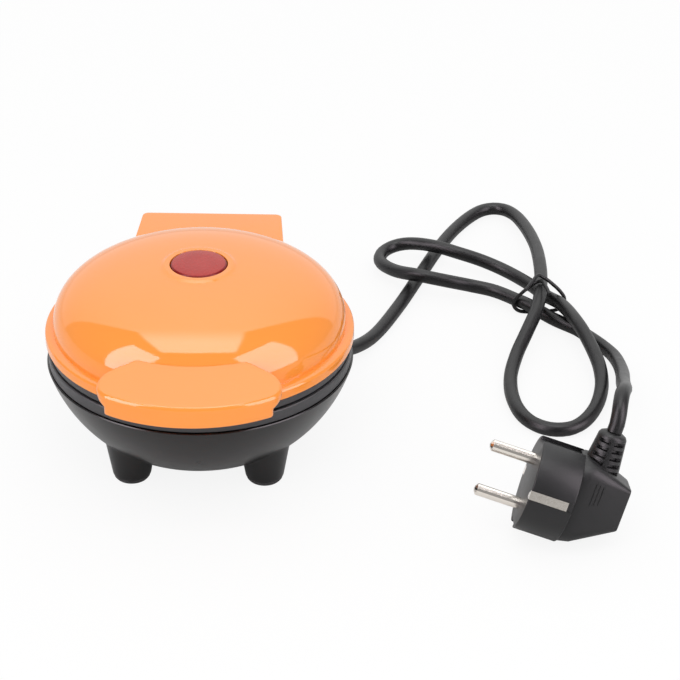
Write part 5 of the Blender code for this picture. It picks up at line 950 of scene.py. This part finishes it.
# %% Plug
DRUM_RADIUS, DRUM_DEPTH, GROOVE_HALF, GROOVE_DEPTH, CLIP_HALF, CLIP_DEPTH = 19.2, 17.8, 4.5, 2.0, 1.9, 0.85
NECK_X, NECK_START, NECK_END, NECK_RADIUS, NECK_TIP_RADIUS = 25.5, 8.0, 30.0, 8.2, 5.6
SLOT_COUNT, SLOT_PITCH, SLOT_HEIGHT, SLOT_DEPTH, SLOT_START, SLOT_SLOPE = 5, 2.9, 1.6, 2.0, 6.2, 0.15
LADDER_DEG = (10, 58)
HOOD_FRONT, HOOD_BACK, HOOD_HALF, HOOD_END_HALF = 22.0, 38.2, 13.6, 8.7
GRIP_X, GRIP_Y, GRIP_PITCH, GRIP_LENGTH, GRIP_WIDTH, GRIP_HEIGHT = 24.5, 6.5, 1.6, 9.5, 0.55, 0.5


def drum_outline():
    """The drum's section: a circle with two wide grooves and two narrow slots."""
    groove = math.degrees(math.asin(GROOVE_HALF / DRUM_RADIUS))
    slot = math.degrees(math.asin(CLIP_HALF / DRUM_RADIUS))
    quarter = arc((0, 0), DRUM_RADIUS, groove, 90 - slot, 20)
    quarter += [(CLIP_HALF, DRUM_RADIUS - CLIP_DEPTH)]
    half = [(DRUM_RADIUS - GROOVE_DEPTH, GROOVE_HALF)] + quarter
    half += [(-x, y) for x, y in half[::-1]]
    return half + [(-x, -y) for x, y in half]


def hood_ring(shape, x, low, high, half, corner):
    """One rounded section of the hood."""
    corners = ((high - corner, half - corner, 0), (low + corner, half - corner, 90),
               (low + corner, corner - half, 180), (high - corner, corner - half, 270))
    outline = [point for y, z, start in corners for point in arc((y, z), corner, start, start + 90, 8)]
    return add_ring(shape, [(x, y, z) for y, z in outline])


def add_hood(shape):
    """The hood, from inside the drum to its small rounded end."""
    sections = ((16.5, -18.2, 18.2, 14.2, 11.0), (18.6, -17.4, 18.4, 14.2, 9.5),
                (HOOD_FRONT, -15.9, 18.0, HOOD_HALF, 6.0), (HOOD_BACK, -6.4, 11.9, HOOD_END_HALF, 1.6),
                (38.8, -6.0, 11.5, 8.3, 1.4), (39.0, -5.2, 10.7, 7.5, 1.0))
    rings = [hood_ring(shape, *section) for section in sections]
    join_rings(shape, rings, True)


def slot_share(angle):
    """1 inside the two ladders on each broad side of the neck, 0 outside them."""
    from_side = abs(math.degrees(angle) % 180 - 90)
    return 1 if LADDER_DEG[0] < from_side < LADDER_DEG[1] else 0


def add_neck(shape):
    """The neck: rings of points whose radius drops inside a slot."""
    heights = [(NECK_START - 2, 0)]
    for i in range(SLOT_COUNT):
        low = NECK_START + SLOT_START + SLOT_PITCH * i
        high = low + SLOT_HEIGHT
        heights += [(low, 0), (low + SLOT_SLOPE, 1), (high - SLOT_SLOPE, 1), (high, 0)]
    heights += [(NECK_END - 1.6, 0), (NECK_END - 0.6, 0), (NECK_END, 0)]
    trims = {NECK_END - 0.6: 0.5, NECK_END: 1.6}
    rings = []
    for height, slotted in heights:
        share = (height - NECK_START) / (NECK_END - NECK_START)
        radius = NECK_RADIUS + (NECK_TIP_RADIUS - NECK_RADIUS) * share - trims.get(height, 0)
        ring = []
        for i in range(96):
            angle = math.tau * i / 96
            reach = radius - SLOT_DEPTH * slotted * slot_share(angle)
            ring.append((NECK_X + reach * math.cos(angle), height, reach * math.sin(angle)))
        rings.append(add_ring(shape, ring))
    join_rings(shape, rings, True)


def add_grips(shape):
    """Three thin raised lines on each broad side of the hood, which follow its slope."""
    slope = math.atan2(HOOD_HALF - HOOD_END_HALF, HOOD_BACK - HOOD_FRONT)
    for side in (1, -1):
        for i in range(3):
            x = GRIP_X + GRIP_PITCH * i
            z = HOOD_HALF - math.tan(slope) * (x - HOOD_FRONT)
            line = bmesh.ops.create_cube(shape, size=1)["verts"]
            size = Matrix.Diagonal((GRIP_WIDTH * MM, (GRIP_LENGTH - i) * MM, GRIP_HEIGHT * MM, 1))
            place = at(x, GRIP_Y, side * z) @ Matrix.Rotation(side * slope, 4, "Y")
            bmesh.ops.transform(shape, matrix=place @ size, verts=line)


plug = bmesh.new()
slab(plug, drum_outline(), 0, DRUM_DEPTH, SIDEWAYS, 0.5, 3)
add_hood(plug)
add_neck(plug)
add_grips(plug)
bmesh.ops.transform(plug, matrix=PLUG, verts=plug.verts)
add_piece("plug_moulding", plug, "plug_black", "base", "plug_body", sharp_deg=38)

# %% [markdown]
# ## Cooking plates
# Both plates are castings: the lower one has four tapered cups, the upper one four shallow domes
# and a recess round each screw. A flat face is filled between the plate's edge and the circles of
# its cups, and each cup is turned from its own profile.

# %% Cooking plates
PLATE_RADIUS, PLATE_SOFT = 60.5, 0.6
CUP_SPACING, CUP_RADIUS, CUP_FLOOR_RADIUS, CUP_WALL, CUP_CORNER = 22.616, 18.45, 14.0, 2.0, 2.0
LOWER_TOP, LOWER_BACK, CUP_FLOOR = 48.9, 45.9, 28.9
UPPER_FACE, UPPER_BACK, CUP_DOME_RISE = 49.2, 52.2, 7.0
POST_CIRCLE, POST_RADIUS, POST_END, SCREW_HOLE, SCREW_RECESS, RECESS_TOP = 30.016, 3.2, 30.3, 1.8, 3.6, 51.0
CUP_STEPS, HOLE_STEPS, PLATE_STEPS = 96, 24, 160
CUP_PLACES = [(x * CUP_SPACING, y * CUP_SPACING) for x in (-1, 1) for y in (-1, 1)]
SCREW_PLACES = [(0, -POST_CIRCLE), (0, POST_CIRCLE), (-POST_CIRCLE, 0), (POST_CIRCLE, 0)]


def ring_edges(shape, centre, radius, height, steps):
    """The edges of a circle, with its corners where a turned piece has them."""
    verts = []
    for i in range(steps):
        angle = math.tau * i / steps
        x, y = centre[0] + radius * math.cos(angle), centre[1] + radius * math.sin(angle)
        verts.append(shape.verts.new((x * MM, y * MM, height * MM)))
    return [shape.edges.new(pair) for pair in zip(verts, verts[1:] + verts[:1])]


def flat_face(shape, radius, height, *holes):
    """A round flat face with rows of round holes: each row is (places, radius, steps)."""
    edges = ring_edges(shape, (0, 0), radius, height, PLATE_STEPS)
    for places, hole, steps in holes:
        for place in places:
            edges += ring_edges(shape, place, hole, height, steps)
    bmesh.ops.triangle_fill(shape, use_beauty=True, edges=edges)


def turn_at(shape, profile, places, steps, closed=False):
    """The same turned profile at several places."""
    for x, y in places:
        turn(shape, profile, steps, at(x, y), closed)


def dome_cap(wall, start, steps=14):
    """A cup's spherical cover, from the height where it starts to its middle, thicker by a wall."""
    ball = (CUP_RADIUS ** 2 + CUP_DOME_RISE ** 2) / (2 * CUP_DOME_RISE) + wall
    centre = UPPER_FACE + CUP_DOME_RISE + wall - ball
    edge = math.acos((start - centre) / ball)
    angles = [edge * (1 - i / steps) for i in range(steps + 1)]
    return [(ball * math.sin(angle), centre + ball * math.cos(angle)) for angle in angles]


def add_plate(name, shape, face, back, cup, body, node):
    """A plate's outer edge, softened at its face, and both sides of its cups: then it is a piece."""
    soft = (PLATE_RADIUS, face, PLATE_SOFT * 0.9)
    turn(shape, rounded([(PLATE_RADIUS - PLATE_SOFT, face), soft, (PLATE_RADIUS, back)]), PLATE_STEPS)
    for profile in cup:
        turn_at(shape, profile, CUP_PLACES, CUP_STEPS)
    bmesh.ops.transform(shape, matrix=BOWL_AXIS, verts=shape.verts)
    add_piece(name, shape, "nonstick", body, node)


def make_lower_plate():
    """The lower plate with its cups and screw posts."""
    shape = bmesh.new()
    lip = CUP_RADIUS + PLATE_SOFT
    inside = rounded([(lip, LOWER_TOP), (CUP_RADIUS, LOWER_TOP, PLATE_SOFT),
                      (CUP_FLOOR_RADIUS, CUP_FLOOR, CUP_CORNER), (0, CUP_FLOOR)])
    slope = (CUP_RADIUS - CUP_FLOOR_RADIUS) / (LOWER_TOP - CUP_FLOOR)
    outer = CUP_RADIUS + CUP_WALL - slope * (LOWER_TOP - LOWER_BACK)
    under = CUP_FLOOR - CUP_WALL
    outside = rounded([(outer, LOWER_BACK), (CUP_FLOOR_RADIUS + CUP_WALL, under, CUP_CORNER), (0, under)])
    flat_face(shape, PLATE_RADIUS - PLATE_SOFT, LOWER_TOP, (CUP_PLACES, lip, CUP_STEPS))
    flat_face(shape, PLATE_RADIUS, LOWER_BACK, (CUP_PLACES, outer, CUP_STEPS))
    sunk = LOWER_BACK + 1
    post = [(SCREW_HOLE, POST_END), (POST_RADIUS, POST_END), (POST_RADIUS, sunk), (SCREW_HOLE, sunk)]
    turn_at(shape, post, SCREW_PLACES, HOLE_STEPS, True)
    add_plate("lower_casting", shape, LOWER_TOP, LOWER_BACK, (inside, outside), "base", "lower_plate")


def make_upper_plate():
    """The upper plate with its domes and screw recesses."""
    shape = bmesh.new()
    inside = dome_cap(0, UPPER_FACE)
    outside = dome_cap(CUP_WALL, UPPER_BACK)
    flat_face(shape, PLATE_RADIUS - PLATE_SOFT, UPPER_FACE, (CUP_PLACES, CUP_RADIUS + PLATE_SOFT, CUP_STEPS),
              (SCREW_PLACES, SCREW_RECESS, HOLE_STEPS))
    flat_face(shape, PLATE_RADIUS, UPPER_BACK, (CUP_PLACES, outside[0][0], CUP_STEPS),
              (SCREW_PLACES, SCREW_HOLE, HOLE_STEPS))
    rim = rounded([(CUP_RADIUS + PLATE_SOFT, UPPER_FACE), (*inside[0], PLATE_SOFT), inside[1]])
    cup = (rim[:-1] + inside[1:], outside)
    recess = [(SCREW_RECESS, UPPER_FACE), (SCREW_RECESS, RECESS_TOP), (SCREW_HOLE, RECESS_TOP),
              (SCREW_HOLE, UPPER_BACK)]
    turn_at(shape, recess, SCREW_PLACES, HOLE_STEPS)
    add_plate("upper_casting", shape, UPPER_FACE, UPPER_BACK, cup, "lid", "upper_plate")


make_lower_plate()
make_upper_plate()

# %% [markdown]
# ## Hinge cover
# A thin plate over the hinge with softened edges. A wall is drawn down round its back and sides.

# %% Hinge cover
COVER_HALF, COVER_BACK, COVER_CORNER, COVER_FRONT_HALF, COVER_INNER = 30.8, 88.9, 2.8, 33.2, 60.5


def cover_outline(inset=0.0):
    """The cover from above: straight sides, rounded rear corners, a front that follows the dome."""
    half, back, corner = COVER_HALF - inset, COVER_BACK - inset, max(COVER_CORNER - inset, 0.5)
    right = arc((half - corner, back - corner), corner, 0, 90, 8)
    start = math.degrees(math.acos(COVER_FRONT_HALF / COVER_INNER))
    front = arc((0, 0), COVER_INNER + inset * 0.2, 180 - start, start, 30)
    return [(-x, y) for x, y in reversed(right)] + front + right


COVER_TOP, COVER_UNDER, COVER_LOW, COVER_SOFT, COVER_WALL, WALL_FRONT = 62.7, 60.5, 57.75, 0.45, 2.0, 62
cover = bmesh.new()
slab(cover, cover_outline(), COVER_UNDER, COVER_TOP, BOWL_AXIS, COVER_SOFT, 4)
wall = [(x, y) for x, y in cover_outline(0.05) if y > WALL_FRONT]
inner_wall = [(x, y) for x, y in cover_outline(COVER_WALL) if y > WALL_FRONT]
slab(cover, wall + inner_wall[::-1], COVER_LOW, COVER_UNDER + 1.0, BOWL_AXIS)
add_piece("cover_plate", cover, "orange_gloss", "lid", "hinge_cover")

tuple(CORD_PATH[0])
